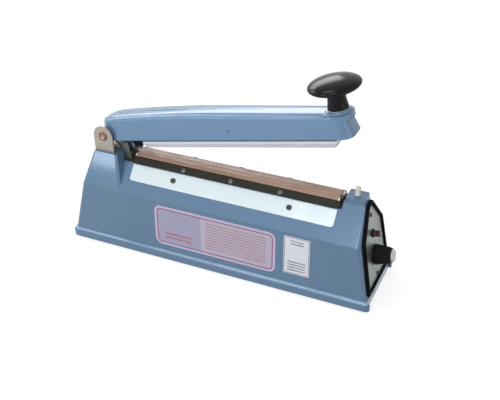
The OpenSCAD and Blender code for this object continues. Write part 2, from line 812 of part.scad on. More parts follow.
// Half of the knob's outline: tapered stem, a fillet and a flattened round head
function knob_outline() = concat(
    [[0, stem_low], [stem_r, stem_low]],
    [for (i = [0 : 4]) let (t = i / 4)
        [stem_r - (stem_r - 8.2) * t, stem_low + 1 + (knob_rise - knob_head_t * 0.62 - stem_low - 1) * t]],
    [for (a = [-62 : 7.6 : 90]) [knob_r * cos(a), knob_rise + knob_head_t / 2 * sin(a)]]);

module handle_knob() {
    color("#141414") at_arm() translate([knob_x, 0, 0]) difference() {
        rotate_extrude($fn = 72) polygon(knob_outline());
        translate([0, 0, stem_low - 1]) cylinder(r = stud_r + 0.02, h = 13);
    }
}

module knob_collar() {
    color("silver") at_arm() translate([knob_x, 0, boss_top_h]) difference() {
        cylinder(r = stem_r + 0.7, h = collar_h);
        translate([0, 0, -1]) cylinder(r = stud_r + run_gap, h = 4);
    }
}

// Stud with the nut that holds the knob from inside the arm
module knob_stud() {
    nut_top = arm_nose_h - arm_wall - 0.4 - 0.5;
    color("silver") at_arm() translate([knob_x, 0, 0]) {
        translate([0, 0, nut_top - 5]) cylinder(r = stud_r, h = stem_low + 11 - nut_top + 5);
        translate([0, 0, nut_top - 3]) cylinder(r = 5.6, h = 3, $fn = 6);
    }
}

// Control panel --------------------------------------------------------------------------

lip = 1.8;

// House-shaped outline, drawn in by an amount
module house(inset) {
    foot = panel_foot_w / 2 - inset;
    kink = panel_kink_w / 2 - inset;
    top = panel_top_w / 2 - inset * 0.55;
    polygon([[-foot, panel_foot_h + inset], [foot, panel_foot_h + inset], [kink, panel_kink_h - inset * 0.4],
        [top, panel_top_h - inset], [-top, panel_top_h - inset], [-kink, panel_kink_h - inset * 0.4]]);
}

// Extrude an outline drawn as (Y, height) from one depth to another
module panel_slab(back, front) {
    at_panel() translate([back, 0, 0]) rotate([90, 0, 90]) linear_extrude(height = front - back) children();
}

module at_panel_hole(height) {
    at_panel() translate([panel_t - bezel_t, 0, height]) rotate([0, 90, 0]) children();
}

module panel_screw_places() {
    for (h = [panel_foot_h + 6.5, panel_top_h - 13]) {
        translate([panel_t - bezel_t, 0, h]) rotate([0, 90, 0]) children();
    }
}

module panel_bezel() {
    color("#181818") {
        panel_slab(panel_t - bezel_t, 0) difference() {
            house(0);
            house(bezel_w);
        }
        panel_slab(-bezel_t, panel_t - bezel_t + nudge) difference() {
            house(0);
            house(bezel_w - lip);
        }
    }
}

module control_panel() {
    color("silver") difference() {
        panel_slab(-bezel_t, panel_t - bezel_t) house(bezel_w - lip + fit_gap);
        at_panel_hole(timer_h) translate([0, 0, -5]) cylinder(r = 4.6, h = 10);
        at_panel_hole(lamp_h) translate([0, 0, -5]) cylinder(r = lamp_r + 0.1, h = 10);
        at_panel() panel_screw_places() translate([0, 0, -5]) cylinder(r = 1.4, h = 10);
    }
}

module panel_screws() {
    color("dimgray") at_panel() panel_screw_places() pan_screw(1.05, 2, 1.1, 5);
}

module timer_knob() {
    clear = 0.8;
    ribs = 20;
    lean = atan((timer_r - timer_tip_r) / timer_len);
    color("#161616") at_panel_hole(timer_h) difference() {
        union() {
            translate([0, 0, clear]) cylinder(r = timer_r, h = 1.6);
            translate([0, 0, clear + 1.6 - nudge]) cylinder(r1 = timer_r - 0.7, r2 = timer_tip_r, h = timer_len - clear - 1.6);
            for (i = [0 : ribs - 1]) {
                rotate([0, 0, i * 360 / ribs]) translate([timer_r - 0.75, 0, clear + 1.2]) rotate([0, -lean, 0])
                    cylinder(r = 0.55, h = timer_len - clear - 3.5, $fn = 16);
            }
        }
        // Hollow over the nut, bore for the shaft and seat of the cap
        translate([0, 0, clear - 1]) cylinder(r = 7, h = 4);
        translate([0, 0, 0]) cylinder(r = shaft_r + 0.02, h = timer_len - 4);
        translate([0, 0, timer_len - cap_seat]) cylinder(r = timer_tip_r - 0.8, h = 3);
    }
}

shaft_r = 3;

module knob_cap() {
    color("lightgray") at_panel_hole(timer_h) {
        translate([0, 0, timer_len - cap_seat]) cylinder(r = timer_tip_r - 0.85, h = cap_seat + cap_out - 0.7);
        translate([0, 0, timer_len + cap_out - 0.7 - nudge])
            cylinder(r1 = timer_tip_r - 0.85, r2 = timer_tip_r - cap_taper, h = 0.7 + nudge);
    }
}

module timer_shaft() {
    color("silver") at_panel_hole(timer_h) translate([0, 0, -10]) cylinder(r = shaft_r, h = timer_len + 5.9);
}

module timer_potentiometer() {
    color("#6d7a66") at_panel_hole(timer_h) difference() {
        union() {
            translate([0, 0, -panel_t - 8]) cylinder(r = 11, h = 8);
            translate([0, 0, -panel_t - nudge]) cylinder(r = 4.5, h = panel_t + 3);
        }
        translate([0, 0, -10.5]) cylinder(r = shaft_r + run_gap, h = 20);
    }
}

module timer_nut() {
    color("silver") at_panel_hole(timer_h) difference() {
        cylinder(r = 6.3, h = 1.8, $fn = 6);
        translate([0, 0, -1]) cylinder(r = 4.52, h = 5);
    }
}

board_depth = -panel_t - 12.5;
board_w = 38;
board_h = 38;
board_low = 22;
board_t = 1.6;

module board_spacer_places() {
    for (y = [-board_w / 2 + 4, board_w / 2 - 4]) {
        for (h = [board_low + 4, board_low + board_h - 4]) {
            at_panel() translate([panel_t - bezel_t, y, h]) rotate([0, 90, 0]) children();
        }
    }
}

module timer_board() {
    color("darkgreen") {
        at_panel() translate([panel_t - bezel_t + board_depth, 0, board_low]) {
            translate([-board_t, -board_w / 2, 0]) cube([board_t, board_w, board_h]);
            // Terminals in front and a relay behind
            translate([0, -board_w / 4, board_h - 7]) cube([3, board_w / 2, 5]);
            translate([-board_t - 6, -board_w / 4, 8]) cube([6.1, board_w / 2, 16]);
        }
    }
}

module board_spacers() {
    color("silver") board_spacer_places() translate([0, 0, board_depth]) cylinder(r = 2.4, h = -board_depth - panel_t);
}

module indicator_lamp() {
    color("#7d1f28") at_panel_hole(lamp_h) {
        translate([0, 0, -7]) cylinder(r = lamp_r - 1, h = 8);
        translate([0, 0, 0.8]) cylinder(r = lamp_r, h = lamp_out - 2.3);
        translate([0, 0, lamp_out - 1.5 - nudge]) cylinder(r1 = lamp_r, r2 = lamp_r - 1.4, h = 1.5);
    }
}

module lamp_holder() {
    color("#202020") at_panel_hole(lamp_h) difference() {
        union() {
            cylinder(r = lamp_r + 1.1, h = 0.8);
            translate([0, 0, -9]) cylinder(r = lamp_r, h = 9 + nudge);
        }
        translate([0, 0, -7]) cylinder(r = lamp_r - 0.95, h = 20);
    }
}

// Switch under the tower -----------------------------------------------------------------

plunger_travel = 2;
plunger_top_z = hinge_z - arm_drop - 0.3;
plunger_low_z = deck_z - 6;
switch_top_z = plunger_low_z - plunger_travel - 0.2;
switch_w = 6.4;

module switch_plunger() {
    color("whitesmoke") at_body() translate([plunger_x, 0, 0]) {
        translate([0, 0, plunger_low_z]) cylinder(r = plunger_r, h = plunger_top_z - plunger_low_z - 1);
        translate([0, 0, plunger_top_z - 1 - nudge]) cylinder(r1 = plunger_r, r2 = plunger_r - 0.9, h = 1 + nudge);
        translate([0, 0, tower_z - wall - 1.8]) cylinder(r = 4.6, h = 1.6);
    }
}

module micro_switch() {
    button_in = 13;
    color("#252525") at_body() translate([plunger_x - button_in, -switch_w / 2, switch_top_z - 11.5]) {
        cube([20, switch_w, 10]);
        translate([button_in, switch_w / 2, 10 - nudge]) cylinder(r = 1.5, h = 1.5);
        for (x = [2.5, 10, 17.5]) {
            translate([x - 0.4, switch_w / 2 - 1.5, -3.5]) cube([0.8, 3, 3.6]);
        }
    }
}

module switch_bracket() {
    side = switch_w / 2 + 0.05;
    low = switch_top_z - 11;
    high = deck_z - wall;
    color("darkgray") at_body() {
        translate([plunger_x - 9, side, low]) cube([13, 1.2, high - low]);
        translate([plunger_x - 9, side, high - 1.2]) cube([13, 6, 1.2]);
    }
}

// Power parts ----------------------------------------------------------------------------

plate_top_z = plate_low_z + base_t;
core = [62, 26, 52];
core_x = 130;
terminal_x = 42;
core_z = plate_top_z + 1.5;

module transformer_screw_places() {
    for (x = [-1, 1]) {
        translate([core_x + x * (core[0] / 2 + 6.5), 0, plate_top_z]) children();
    }
}

module transformer_core() {
    leg = 10;
    color("#4a4f55") at_body() translate([core_x, 0, core_z]) difference() {
        translate([-core[0] / 2, -core[1] / 2, 0]) cube(core);
        for (x = [-1, 1]) {
            translate([x * 15.5 - 5.5, -core[1], leg]) cube([11, 2 * core[1], core[2] - 2 * leg]);
        }
    }
}

module transformer_coil() {
    height = 31;
    width = 41;
    wound = 10;
    color("#b5651d") at_body() translate([core_x, 0, core_z + 10.5]) difference() {
        translate([-width / 2, -core[1] / 2 - wound, 0]) cube([width, core[1] + 2 * wound, height]);
        translate([-10.3, -core[1] / 2 - 0.3, -1]) cube([20.6, core[1] + 0.6, height + 2]);
    }
}

module transformer_frame() {
    t = 1.5;
    reach = core[0] / 2 + 12;
    color("silver") at_body() difference() {
        union() {
            translate([core_x - reach, -10, plate_top_z]) cube([2 * reach, 20, t]);
            for (x = [-core[0] / 2 - t, core[0] / 2]) {
                translate([core_x + x, -10, plate_top_z]) cube([t, 20, core[2] + 2 * t]);
            }
            translate([core_x - core[0] / 2 - t, -10, core_z + core[2]]) cube([core[0] + 2 * t, 20, t]);
        }
        transformer_screw_places() translate([0, 0, -1]) cylinder(r = 1.7, h = 5);
    }
}

module transformer_screws() {
    color("silver") at_body() transformer_screw_places() translate([0, 0, 1.5]) pan_screw(1.5, 2.8, 1.7, 4);
}

module terminal_block() {
    length = 16;
    pitch = 12;
    color("ivory") at_body() translate([terminal_x, -1.5 * pitch, plate_top_z]) difference() {
        cube([length, 3 * pitch, 12]);
        for (i = [0 : 2]) {
            translate([length / 2, (i + 0.5) * pitch, 4]) cylinder(r = 2.2, h = 10);
            translate([-1, (i + 0.5) * pitch, 4]) rotate([0, 90, 0]) cylinder(r = 1.6, h = length + 2);
        }
    }
}

cord_r = 3.6;

module cord_bushing() {
    color("#1d1d1d") at_body() translate([rear_at(bushing_z), 0, bushing_z]) rotate([0, rear_lean - 90, 0]) difference() {
        union() {
            cylinder(r1 = bushing_r + 2.4, r2 = bushing_r + 1.6, h = 2);
            translate([0, 0, -wall - 3]) cylinder(r = bushing_r - 0.05, h = wall + 3 + nudge);
        }
        translate([0, 0, -10]) cylinder(r = cord_r, h = 20);
    }
}

// Labels ---------------------------------------------------------------------------------

label_t = 0.3;
label_x = bar_x + 32.3;
label_w = 129.2;
label_low = 15.7;
label_h = 44.3;
rating_x = label_x + label_w + 8.2;
rating_w = 26;
rating_low = 20;
rating_h = 41;
wall_tilt = atan((wall_w - ridge_w) / 2 / ridge_h);

// Near wall frame: X along the body, Y up the wall from its foot, Z out of it
module at_wall() at_body() translate([0, -wall_w / 2, foot_drop]) rotate([90 - wall_tilt, 0, 0]) children();

module rounded_plate(w, h, r, t) {
    linear_extrude(height = t) union() {
        translate([r, 0]) square([w - 2 * r, h]);
        translate([0, r]) square([w, h - 2 * r]);
        for (x = [r, w - r]) {
            for (y = [r, h - r]) {
                translate([x, y]) circle(r = r);
            }
        }
    }
}

module instruction_label() {
    color("thistle") at_wall() translate([label_x, label_low, nudge]) rounded_plate(label_w, label_h, 7, label_t);
}

module rating_label() {
    color("white") at_wall() translate([rating_x, rating_low, nudge]) rounded_plate(rating_w, rating_h, 0.8, label_t);
}

casing();
bottom_plate();
base_screws();
rubber_feet();
foot_screws();
side_cover_near();
side_cover_far();
side_cover_screws();
bar_base();
seal_bar();
element_tape();
heating_element();
ptfe_cloth();
cloth_clamp_near();
cloth_clamp_far();
cloth_clamp_screws();
rear_end_bracket();
front_end_bracket();
end_bracket_screws();
hinge_bracket();
hinge_bracket_screws();
hinge_pin();
pin_clip();
hinge_washers();
return_spring();
arm_casting();
pad_holder();
silicone_pad();
holder_pin();
arm_stop();
handle_knob();
knob_stud();
knob_collar();
panel_bezel();
control_panel();
panel_screws();
timer_knob();
knob_cap();
timer_shaft();
timer_potentiometer();
timer_nut();
timer_board();
board_spacers();
indicator_lamp();
lamp_holder();
switch_plunger();
micro_switch();
switch_bracket();
transformer_core();
transformer_coil();
transformer_frame();
transformer_screws();
terminal_block();
cord_bushing();
instruction_label();
rating_label();
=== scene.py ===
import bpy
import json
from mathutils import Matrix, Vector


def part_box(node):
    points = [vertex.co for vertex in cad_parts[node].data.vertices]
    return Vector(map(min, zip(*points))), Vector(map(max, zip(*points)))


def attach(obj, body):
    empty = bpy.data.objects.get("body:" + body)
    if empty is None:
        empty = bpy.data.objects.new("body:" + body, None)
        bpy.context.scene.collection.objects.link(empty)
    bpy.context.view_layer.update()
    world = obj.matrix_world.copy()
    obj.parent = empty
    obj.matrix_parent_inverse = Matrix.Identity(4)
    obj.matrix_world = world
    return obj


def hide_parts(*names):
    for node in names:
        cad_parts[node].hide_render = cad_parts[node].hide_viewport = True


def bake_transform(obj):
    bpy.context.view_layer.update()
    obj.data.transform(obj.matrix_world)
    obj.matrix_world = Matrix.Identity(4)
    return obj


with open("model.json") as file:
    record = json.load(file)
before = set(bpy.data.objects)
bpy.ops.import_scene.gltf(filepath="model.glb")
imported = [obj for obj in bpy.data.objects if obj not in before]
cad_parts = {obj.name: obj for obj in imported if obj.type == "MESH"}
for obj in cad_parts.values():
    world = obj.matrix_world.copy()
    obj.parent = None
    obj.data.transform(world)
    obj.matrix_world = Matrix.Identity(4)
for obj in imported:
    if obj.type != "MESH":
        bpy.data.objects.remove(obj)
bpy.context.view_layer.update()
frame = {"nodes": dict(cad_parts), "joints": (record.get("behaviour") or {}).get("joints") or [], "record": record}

import json
import math

import bmesh
import bpy
from mathutils import Matrix, Vector

mm = 0.001
leans = {"arm": 12, "panel": 9.5}  # degrees
skirtTop = 12.0 * mm
print("frame loaded")


def deg(angle):
    return math.radians(angle)


def linked(name, data):  # a new object in the scene
    obj = bpy.data.objects.new(name, data)
    bpy.context.scene.collection.objects.link(obj)
    return obj


# Frames of the moving parts
joints = {joint["name"]: joint for joint in frame["joints"]}
hinge = Vector(joints["arm_hinge"]["pos_m"])
dial = Vector(joints["timer_turn"]["pos_m"])
armFrame = Matrix.Translation(hinge) @ Matrix.Rotation(-deg(leans["arm"]), 4, "Y")
dialFrame = Matrix.Translation(dial) @ Matrix.Rotation(-deg(leans["panel"]), 4, "Y")
armBack = armFrame.inverted()

# Camera

cameraSizes = {
    "place": (305.16, -610.2, 502.9),
    "target": (20.67, 0.0, 69.52),
    "roll": -1.15,
    "lens": 59.627,
    "sensor": 36.0,
    "clip": (0.05, 20),
}


def makeCamera(sizes):
    data = bpy.data.cameras.new("camera")
    data.lens, data.sensor_width = sizes["lens"], sizes["sensor"]
    data.clip_start, data.clip_end = sizes["clip"]
    place = Vector(sizes["place"]) * mm
    look = (Vector(sizes["target"]) * mm - place).normalized()
    right = look.cross(Vector((0, 0, 1))).normalized()
    up = right.cross(look)
    roll = deg(sizes["roll"])
    rolledRight = math.cos(roll) * right + math.sin(roll) * up
    rolledUp = -math.sin(roll) * right + math.cos(roll) * up
    turn = Matrix((rolledRight, rolledUp, -look)).transposed().to_4x4()
    camera = linked("camera", data)
    camera.matrix_world = Matrix.Translation(place) @ turn
    bpy.context.scene.camera = camera


makeCamera(cameraSizes)
print("camera ready")


class Graph:  # a node tree with short words for adding and joining nodes
    def __init__(self, tree):
        self.tree = tree

    def add(self, kind, settings=None, **inputs):
        node = self.tree.nodes.new(kind)
        for name, value in (settings or {}).items():
            setattr(node, name, value)
        for name, value in inputs.items():
            self.put(node, name.replace("_", " "), value)
        return node

    def put(self, node, name, value):
        socket = node.inputs[name]
        if isinstance(value, bpy.types.NodeSocket):
            self.tree.links.new(value, socket)
        elif socket.type == "RGBA" and len(value) == 3:
            socket.default_value = (*value, 1)
        else:
            socket.default_value = value

    def calc(self, operation, a, b=0.0, c=0.0):
        node = self.add("ShaderNodeMath", {"operation": operation})
        for i, value in enumerate((a, b, c)):
            self.put(node, i, value)
        return node.outputs[0]

    def times(self, a, b):
        return self.calc("MULTIPLY", a, b)

    def plus(self, a, b):
        return self.calc("ADD", a, b)

    def minus(self, a, b):
        return self.calc("SUBTRACT", a, b)

    def size(self, a):
        return self.calc("ABSOLUTE", a)

    def reach(self, a, b):  # length of a flat vector
        return self.calc("SQRT", self.plus(self.times(a, a), self.times(b, b)))

    def ramp(self, value, low, high, start=0.0, end=1.0, kind="SMOOTHSTEP"):
        node = self.add("ShaderNodeMapRange", {"interpolation_type": kind}, Value=value)
        for name, item in (("From Min", low), ("From Max", high), ("To Min", start), ("To Max", end)):
            self.put(node, name, item)
        return node.outputs["Result"]

    def noise(self, place, scale, detail=3.0, rough=0.55):
        node = self.add("ShaderNodeTexNoise", Vector=place, Scale=scale, Detail=detail, Roughness=rough)
        return node.outputs["Fac"]

    def mix(self, share, a, b):
        node = self.add("ShaderNodeMix", {"data_type": "RGBA"})
        for i, value in ((0, share), (6, a), (7, b)):
            self.put(node, i, value)
        return node.outputs[2]

    def mapped(self, place, scale=(1, 1, 1), turn=(0, 0, 0), move=(0, 0, 0)):
        return self.add("ShaderNodeMapping", Vector=place, Scale=scale, Rotation=turn, Location=move).outputs[0]

    def split(self, place):
        return self.add("ShaderNodeSeparateXYZ", Vector=place).outputs

    def join(self, x, y, z):
        return self.add("ShaderNodeCombineXYZ", X=x, Y=y, Z=z).outputs[0]

    def bump(self, height, strength, distance):
        return self.add("ShaderNodeBump", Height=height, Strength=strength, Distance=distance).outputs[0]

    def socket(self, label, kind, way="INPUT"):  # of the tree as a group
        return self.tree.interface.new_socket(label, in_out=way, socket_type="NodeSocket" + kind)

    def spot(self):  # place of each point
        return self.split(self.add("GeometryNodeInputPosition").outputs[0])

    def about(self, angle):  # turn round Z
        return self.add("FunctionNodeAxisAngleToRotation", Angle=angle).outputs[0]

    def placed(self, points, shape, turn):
        return self.add("GeometryNodeInstanceOnPoints", Points=points, Instance=shape, Rotation=turn).outputs[0]

    def block(self, x, y, z):
        return self.add("GeometryNodeMeshCube", Size=self.join(x, y, z)).outputs["Mesh"]

    def drum(self, sides, radius, depth, **inputs):
        return self.add("GeometryNodeMeshCylinder", {"fill_type": "NGON"}, Vertices=sides, Radius=radius, Depth=depth,
                        **inputs).outputs["Mesh"]

    def lifted(self, shape, height):
        return self.add("GeometryNodeTransform", Geometry=shape, Translation=self.join(0.0, 0.0, height)).outputs[0]

    def moved(self, shape, place, **inputs):
        return self.add("GeometryNodeSetPosition", Geometry=shape, Position=place, **inputs).outputs[0]

    def boolean(self, operation, *tools, base=None):
        node = self.add("GeometryNodeMeshBoolean", {"operation": operation, "solver": "EXACT"})
        if base is not None:
            self.put(node, "Mesh 1", base)
        for tool in tools:
            self.put(node, "Mesh 2", tool)
        return node.outputs["Mesh"]


# Light, floor and background

studio = {
    "skyFill": 0.33,
    "floorSize": 3.0,
    "floorGlow": (0.76, 0.92),  # near the object and far from it
    "floorReach": (0.5, 1.3),
    "floorTone": 0.4,
    "aim": (0, 0, 0.08),
    # place, size and watts of each lamp
    "lamps": {
        "backBox": ((-0.83, 1.00, 0.74), (1.00, 0.42), 5.8),
        "keyBox": ((0.14, -0.95, 0.78), (0.50, 0.50), 4.4),
        "frontBox": ((-0.69, -1.10, 0.24), (0.50, 0.34), 3.4),
        "leftBox": ((-1.15, 0.10, 0.60), (0.60, 0.50), 3.0),
        "topBox": ((-0.50, -0.14, 1.38), (0.55, 0.55), 4.2),
        "rightBox": ((1.25, -0.30, 0.55), (0.80, 0.80), 1.6),
        "edgeBox": ((-0.50, -1.06, 0.80), (0.30, 0.12), 0.9),
    },
}


def seenRays(g):  # 1 where a camera, glossy or see-through ray arrives
    path = g.add("ShaderNodeLightPath").outputs
    seen = path["Is Camera Ray"]
    for name in ("Is Glossy Ray", "Is Transmission Ray"):
        seen = g.calc("MAXIMUM", seen, path[name])
    return seen


def makeStudio(sizes):
    scene = bpy.context.scene
    scene.view_settings.view_transform = "Standard"
    scene.world = bpy.data.worlds.new("studio")
    scene.world.use_nodes = True
    g = Graph(scene.world.node_tree)
    shade = g.tree.nodes["Background"]
    g.put(shade, "Color", (1, 1, 1))
    g.put(shade, "Strength", g.ramp(seenRays(g), 0.0, 1.0, sizes["skyFill"], 1.0))

    paint = bpy.data.materials.new("paleFloor")
    paint.use_nodes = True
    g = Graph(paint.node_tree)
    shade = g.tree.nodes["Principled BSDF"]
    g.put(shade, "Base Color", (sizes["floorTone"],) * 3)
    g.put(shade, "Roughness", 0.9)
    g.put(shade, "Specular IOR Level", 0.0)
    g.put(shade, "Emission Color", (1, 1, 1))
    place = g.add("ShaderNodeTexCoord").outputs["Object"]
    away = g.add("ShaderNodeVectorMath", {"operation": "LENGTH"})
    g.put(away, 0, place)
    glow = g.ramp(away.outputs["Value"], *sizes["floorReach"], *sizes["floorGlow"], "LINEAR")
    g.put(shade, "Emission Strength", g.times(seenRays(g), glow))

    half = sizes["floorSize"]
    mesh = bpy.data.meshes.new("floor")
    mesh.from_pydata([(-half, -half, 0), (half, -half, 0), (half, half, 0), (-half, half, 0)], [], [(0, 1, 2, 3)])
    mesh.materials.append(paint)
    linked("floor", mesh)

    for name, (place, size, watts) in sizes["lamps"].items():
        data = bpy.data.lights.new(name, "AREA")
        data.shape = "RECTANGLE"
        data.size, data.size_y = size
        data.energy = watts
        lamp = linked(name, data)
        lamp.location = place
        lamp.rotation_euler = (Vector(sizes["aim"]) - Vector(place)).to_track_quat("-Z", "Y").to_euler()


makeStudio(studio)
print("studio ready")

# Shader groups

groups = {}


def makeGroup(name, build, **inputs):  # an input without a value is a vector
    tree = groups[name] = bpy.data.node_groups.new(name, "ShaderNodeTree")
    g = Graph(tree)
    for label, value in {"Place": None, **inputs}.items():
        socket = g.socket(label.replace("_", " "), "Vector" if value is None else "Float")
        if value is not None:
            socket.default_value = value
    results = build(g, tree.nodes.new("NodeGroupInput").outputs)
    for label in results:
        g.socket(label, "Float", "OUTPUT")
    ending = tree.nodes.new("NodeGroupOutput")
    for label, result in results.items():
        g.put(ending, label, result)


def buildPaintSkin(g, given):  # slow waves and fine peel of sprayed enamel
    place = given["Place"]
    peel = g.noise(place, given["Peel scale"], 2.0, 0.4)
    wave = g.noise(place, given["Wave scale"], 1.0, 0.3)
    height = g.plus(g.times(peel, given["Peel"]), g.times(wave, given["Wave"]))
    return {"Height": height, "Cloud": g.noise(place, 14.0, 3.0)}


def buildHandling(g, given):  # dull smears and small scuffs from use
    place = given["Place"]
    smear = g.ramp(g.noise(g.mapped(place, (1, 1.6, 0.8)), 22.0, 4.0), 0.48, 0.68)
    fine = g.noise(g.mapped(place, (9, 30, 14), (0.4, 0.2, 0.9)), 40.0, 2.0)
    scratch = g.ramp(fine, given["Scuff start"], g.plus(given["Scuff start"], 0.03))
    patch = g.ramp(g.noise(place, 30.0, 2.0), 0.52, 0.62)
    return {"Smear": smear, "Scuff": g.times(scratch, patch)}


def buildBrushed(g, given):  # long hairlines along X, with a softer drift across them
    hair = g.noise(g.mapped(given["Place"], (6, 900, 900)), 1.0, 3.0, 0.7)
    drift = g.noise(g.mapped(given["Place"], (2, 60, 60)), 1.0, 2.0)
    return {"Tone": g.plus(g.times(hair, 0.65), g.times(drift, 0.35)), "Height": hair}


def buildWeave(g, given):  # crossed yarns, one over and one under
    axes = g.split(given["Place"])
    warp, weft = (g.calc("SINE", g.times(g.times(axes[axis], given["Yarns per metre"]), math.tau)) for axis in "XY")
    lift = g.calc("MULTIPLY_ADD", g.times(warp, weft), 0.5, 0.5)
    return {"Height": lift, "Tone": g.calc("MULTIPLY_ADD", g.noise(given["Place"], 90.0, 3.0), 0.6, 0.2)}


def buildDust(g, given):  # a little dust on what faces up
    top = g.ramp(g.split(given["Facing"])["Z"], 0.45, 1.0)
    speck = g.ramp(g.noise(given["Place"], 160.0, 4.0, 0.7), 0.5, 0.75)
    return {"Mask": g.times(g.times(top, speck), given["Amount"])}


def buildFrameLine(g, given):  # distance to a rounded rectangle's edge, in metres, below zero inside
    place = g.split(given["Place"])
    offset = []
    for axis, half in (("X", "Half width"), ("Z", "Half height")):
        offset.append(g.plus(g.minus(g.size(place[axis]), given[half]), given["Radius"]))
    corner = g.reach(*(g.calc("MAXIMUM", value, 0.0) for value in offset))
    inside = g.calc("MINIMUM", g.calc("MAXIMUM", *offset), 0.0)
    return {"Distance": g.minus(g.plus(corner, inside), given["Radius"])}


makeGroup("paintSkin", buildPaintSkin, Peel=1.0, Peel_scale=900.0, Wave=1.0, Wave_scale=60.0)
makeGroup("handling", buildHandling, Scuff_start=0.66)
makeGroup("brushed", buildBrushed)
makeGroup("weave", buildWeave, Yarns_per_metre=900.0)
makeGroup("dust", buildDust, Facing=None, Amount=0.3)
makeGroup("frameLine", buildFrameLine, Half_width=0.01, Half_height=0.01, Radius=0.002)
print("shader groups ready")

# Materials


def linear(red, green, blue):  # screen values from 0 to 255
    def one(value):
        value /= 255
        return value / 12.92 if value <= 0.04045 else ((value + 0.055) / 1.055) ** 2.4
    return one(red), one(green), one(blue)


def toned(tone, share, rise=0.0):
    return tuple(min(1, c * share + rise) for c in tone)


class Finish(Graph):  # one material, with its shader and object coordinates at hand
    def __init__(self, name, **uniform):
        self.material = bpy.data.materials.new(name)
        self.material.use_nodes = True
        super().__init__(self.material.node_tree)
        self.shader = self.tree.nodes["Principled BSDF"]
        self.place = self.add("ShaderNodeTexCoord").outputs["Object"]
        self.wire(**uniform)

    def group(self, name, place=None, **inputs):
        spot = self.place if place is None else place
        return self.add("ShaderNodeGroup", {"node_tree": groups[name]}, Place=spot, **inputs).outputs

    def dust(self, amount):
        facing = self.add("ShaderNodeNewGeometry").outputs["Normal"]
        return self.group("dust", Facing=facing, Amount=amount)["Mask"]

    def dulled(self, smear, start, end):
        return self.ramp(smear, 0.0, 1.0, start, end)

    def onArm(self):  # axes of the arm's own frame
        return self.split(self.mapped(self.place, turn=armBack.to_euler(), move=armBack.translation))

    def wire(self, **links):
        for label, value in links.items():
            self.put(self.shader, label.replace("_", " "), value)
        return self.material


enamelLook = {
    "tones": ((95, 130, 163), (104, 139, 172)), "worn": (150, 175, 200), "dust": (175, 185, 195),
    "rough": (0.26, 0.3), "coat": (0.42, 0.36), "shine": 0.35, "dirtRough": 0.4,
}
armShade = {  # millimetres in the arm's frame, for the painted shade in its groove and the painted shadow on the holder
    "middle": 123.9, "long": 127.8, "half": 13.1, "radius": 11.0, "inset": 3.1, "fade": (0.25, 0.8), "above": (6, 10),
    "under": (-11.4, -10.8), "amount": 0.9,
}
# heights from the skirt's top, patchiness and tone of the painted highlight along its ledge
ledgeHighlightSizes = {"below": (-1.2, -0.5), "above": (0.2, 0.6), "amount": (0.3, 0.6), "tone": (186, 208, 230)}
pinDish = {"radius": (2.3, 2.7), "tone": (150, 140, 132)}


# shade darkens the whole enamel as painted shade; the body's walls use it
def enamelFinish(name, shade=1.0, paintedLight=None):
    look = enamelLook
    f = Finish(name, Metallic=0.15, Coat_Roughness=0.12, Specular_IOR_Level=look["shine"])
    skin = f.group("paintSkin", Peel=0.3, Peel_scale=1100.0, Wave=0.25, Wave_scale=40.0)
    marks = f.group("handling", Scuff_start=0.7)
    low, high = (toned(linear(*tone), shade) for tone in look["tones"])
    color = f.mix(f.times(marks["Scuff"], 0.07), f.mix(skin["Cloud"], low, high), linear(*look["worn"]))
    color = f.mix(f.dust(0.05), color, linear(*look["dust"]))
    rough, coat = (f.dulled(marks["Smear"], *look[key]) for key in ("rough", "coat"))
    if paintedLight:  # painted light from the mask: painted shade in the arm's groove, painted highlight on the skirt's ledge; it is dull as well
        mask, tone = paintedLight(f)
        color = f.mix(mask, color, tone)
        rough = f.plus(rough, f.times(mask, look["dirtRough"]))
        coat = f.times(coat, f.minus(1.0, mask))
    return f.wire(Base_Color=color, Roughness=rough, Coat_Weight=coat, Normal=f.bump(skin["Height"], 0.1, 0.0004))


def metalFinish(name, tone, rough=0.3, dark=0.8, metallic=1.0, dusty=0.08, extra=None):
    f = Finish(name, Metallic=metallic)
    grain = f.group("brushed")
    marks = f.group("handling", Scuff_start=0.68)
    color = f.mix(f.dust(dusty), f.mix(grain["Tone"], toned(tone, dark), tone), (0.4, 0.39, 0.37))
    color = extra(f, color) if extra else color
    shine = f.plus(f.ramp(grain["Tone"], 0.2, 0.8, rough, rough + 0.1), f.times(marks["Smear"], 0.08))
    return f.wire(Base_Color=color, Roughness=shine, Normal=f.bump(grain["Height"], 0.08, 0.0001))


def grooveShade(f):  # painted shade, a dark dull line in the shallow step beside the arm's top edge
    middle, long, half, radius, inset = (armShade[key] * mm for key in ("middle", "long", "half", "radius", "inset"))
    fade, above = ([limit * mm for limit in armShade[key]] for key in ("fade", "above"))
    axes = f.onArm()
    flat = f.join(f.minus(axes["X"], middle), 0.0, axes["Y"])
    edge = f.group("frameLine", flat, Half_width=long, Half_height=half, Radius=radius)["Distance"]
    line = f.times(f.ramp(f.size(f.plus(edge, inset)), *fade, 1.0, 0.0), f.ramp(axes["Z"], *above))
    return f.times(line, armShade["amount"]), linear(60, 92, 122)


def ledgeHighlight(f):  # painted highlight, pale and patchy, on the ledge and rounded edge of the skirt
    rise = f.split(f.place)["Z"]
    low, high = ([skirtTop + limit * mm for limit in ledgeHighlightSizes[key]] for key in ("below", "above"))
    patch = f.ramp(f.noise(f.place, 35.0, 2.0), 0.3, 0.6, *ledgeHighlightSizes["amount"])
    return f.times(f.times(f.ramp(rise, *low), f.ramp(rise, *high, 1.0, 0.0)), patch), linear(*ledgeHighlightSizes["tone"])


def holderShadow(f, color):  # painted shadow where the holder goes up under the arm
    under = (limit * mm for limit in armShade["under"])
    return f.mix(f.times(f.ramp(f.onArm()["Z"], *under), armShade["amount"]), color, linear(34, 40, 52))


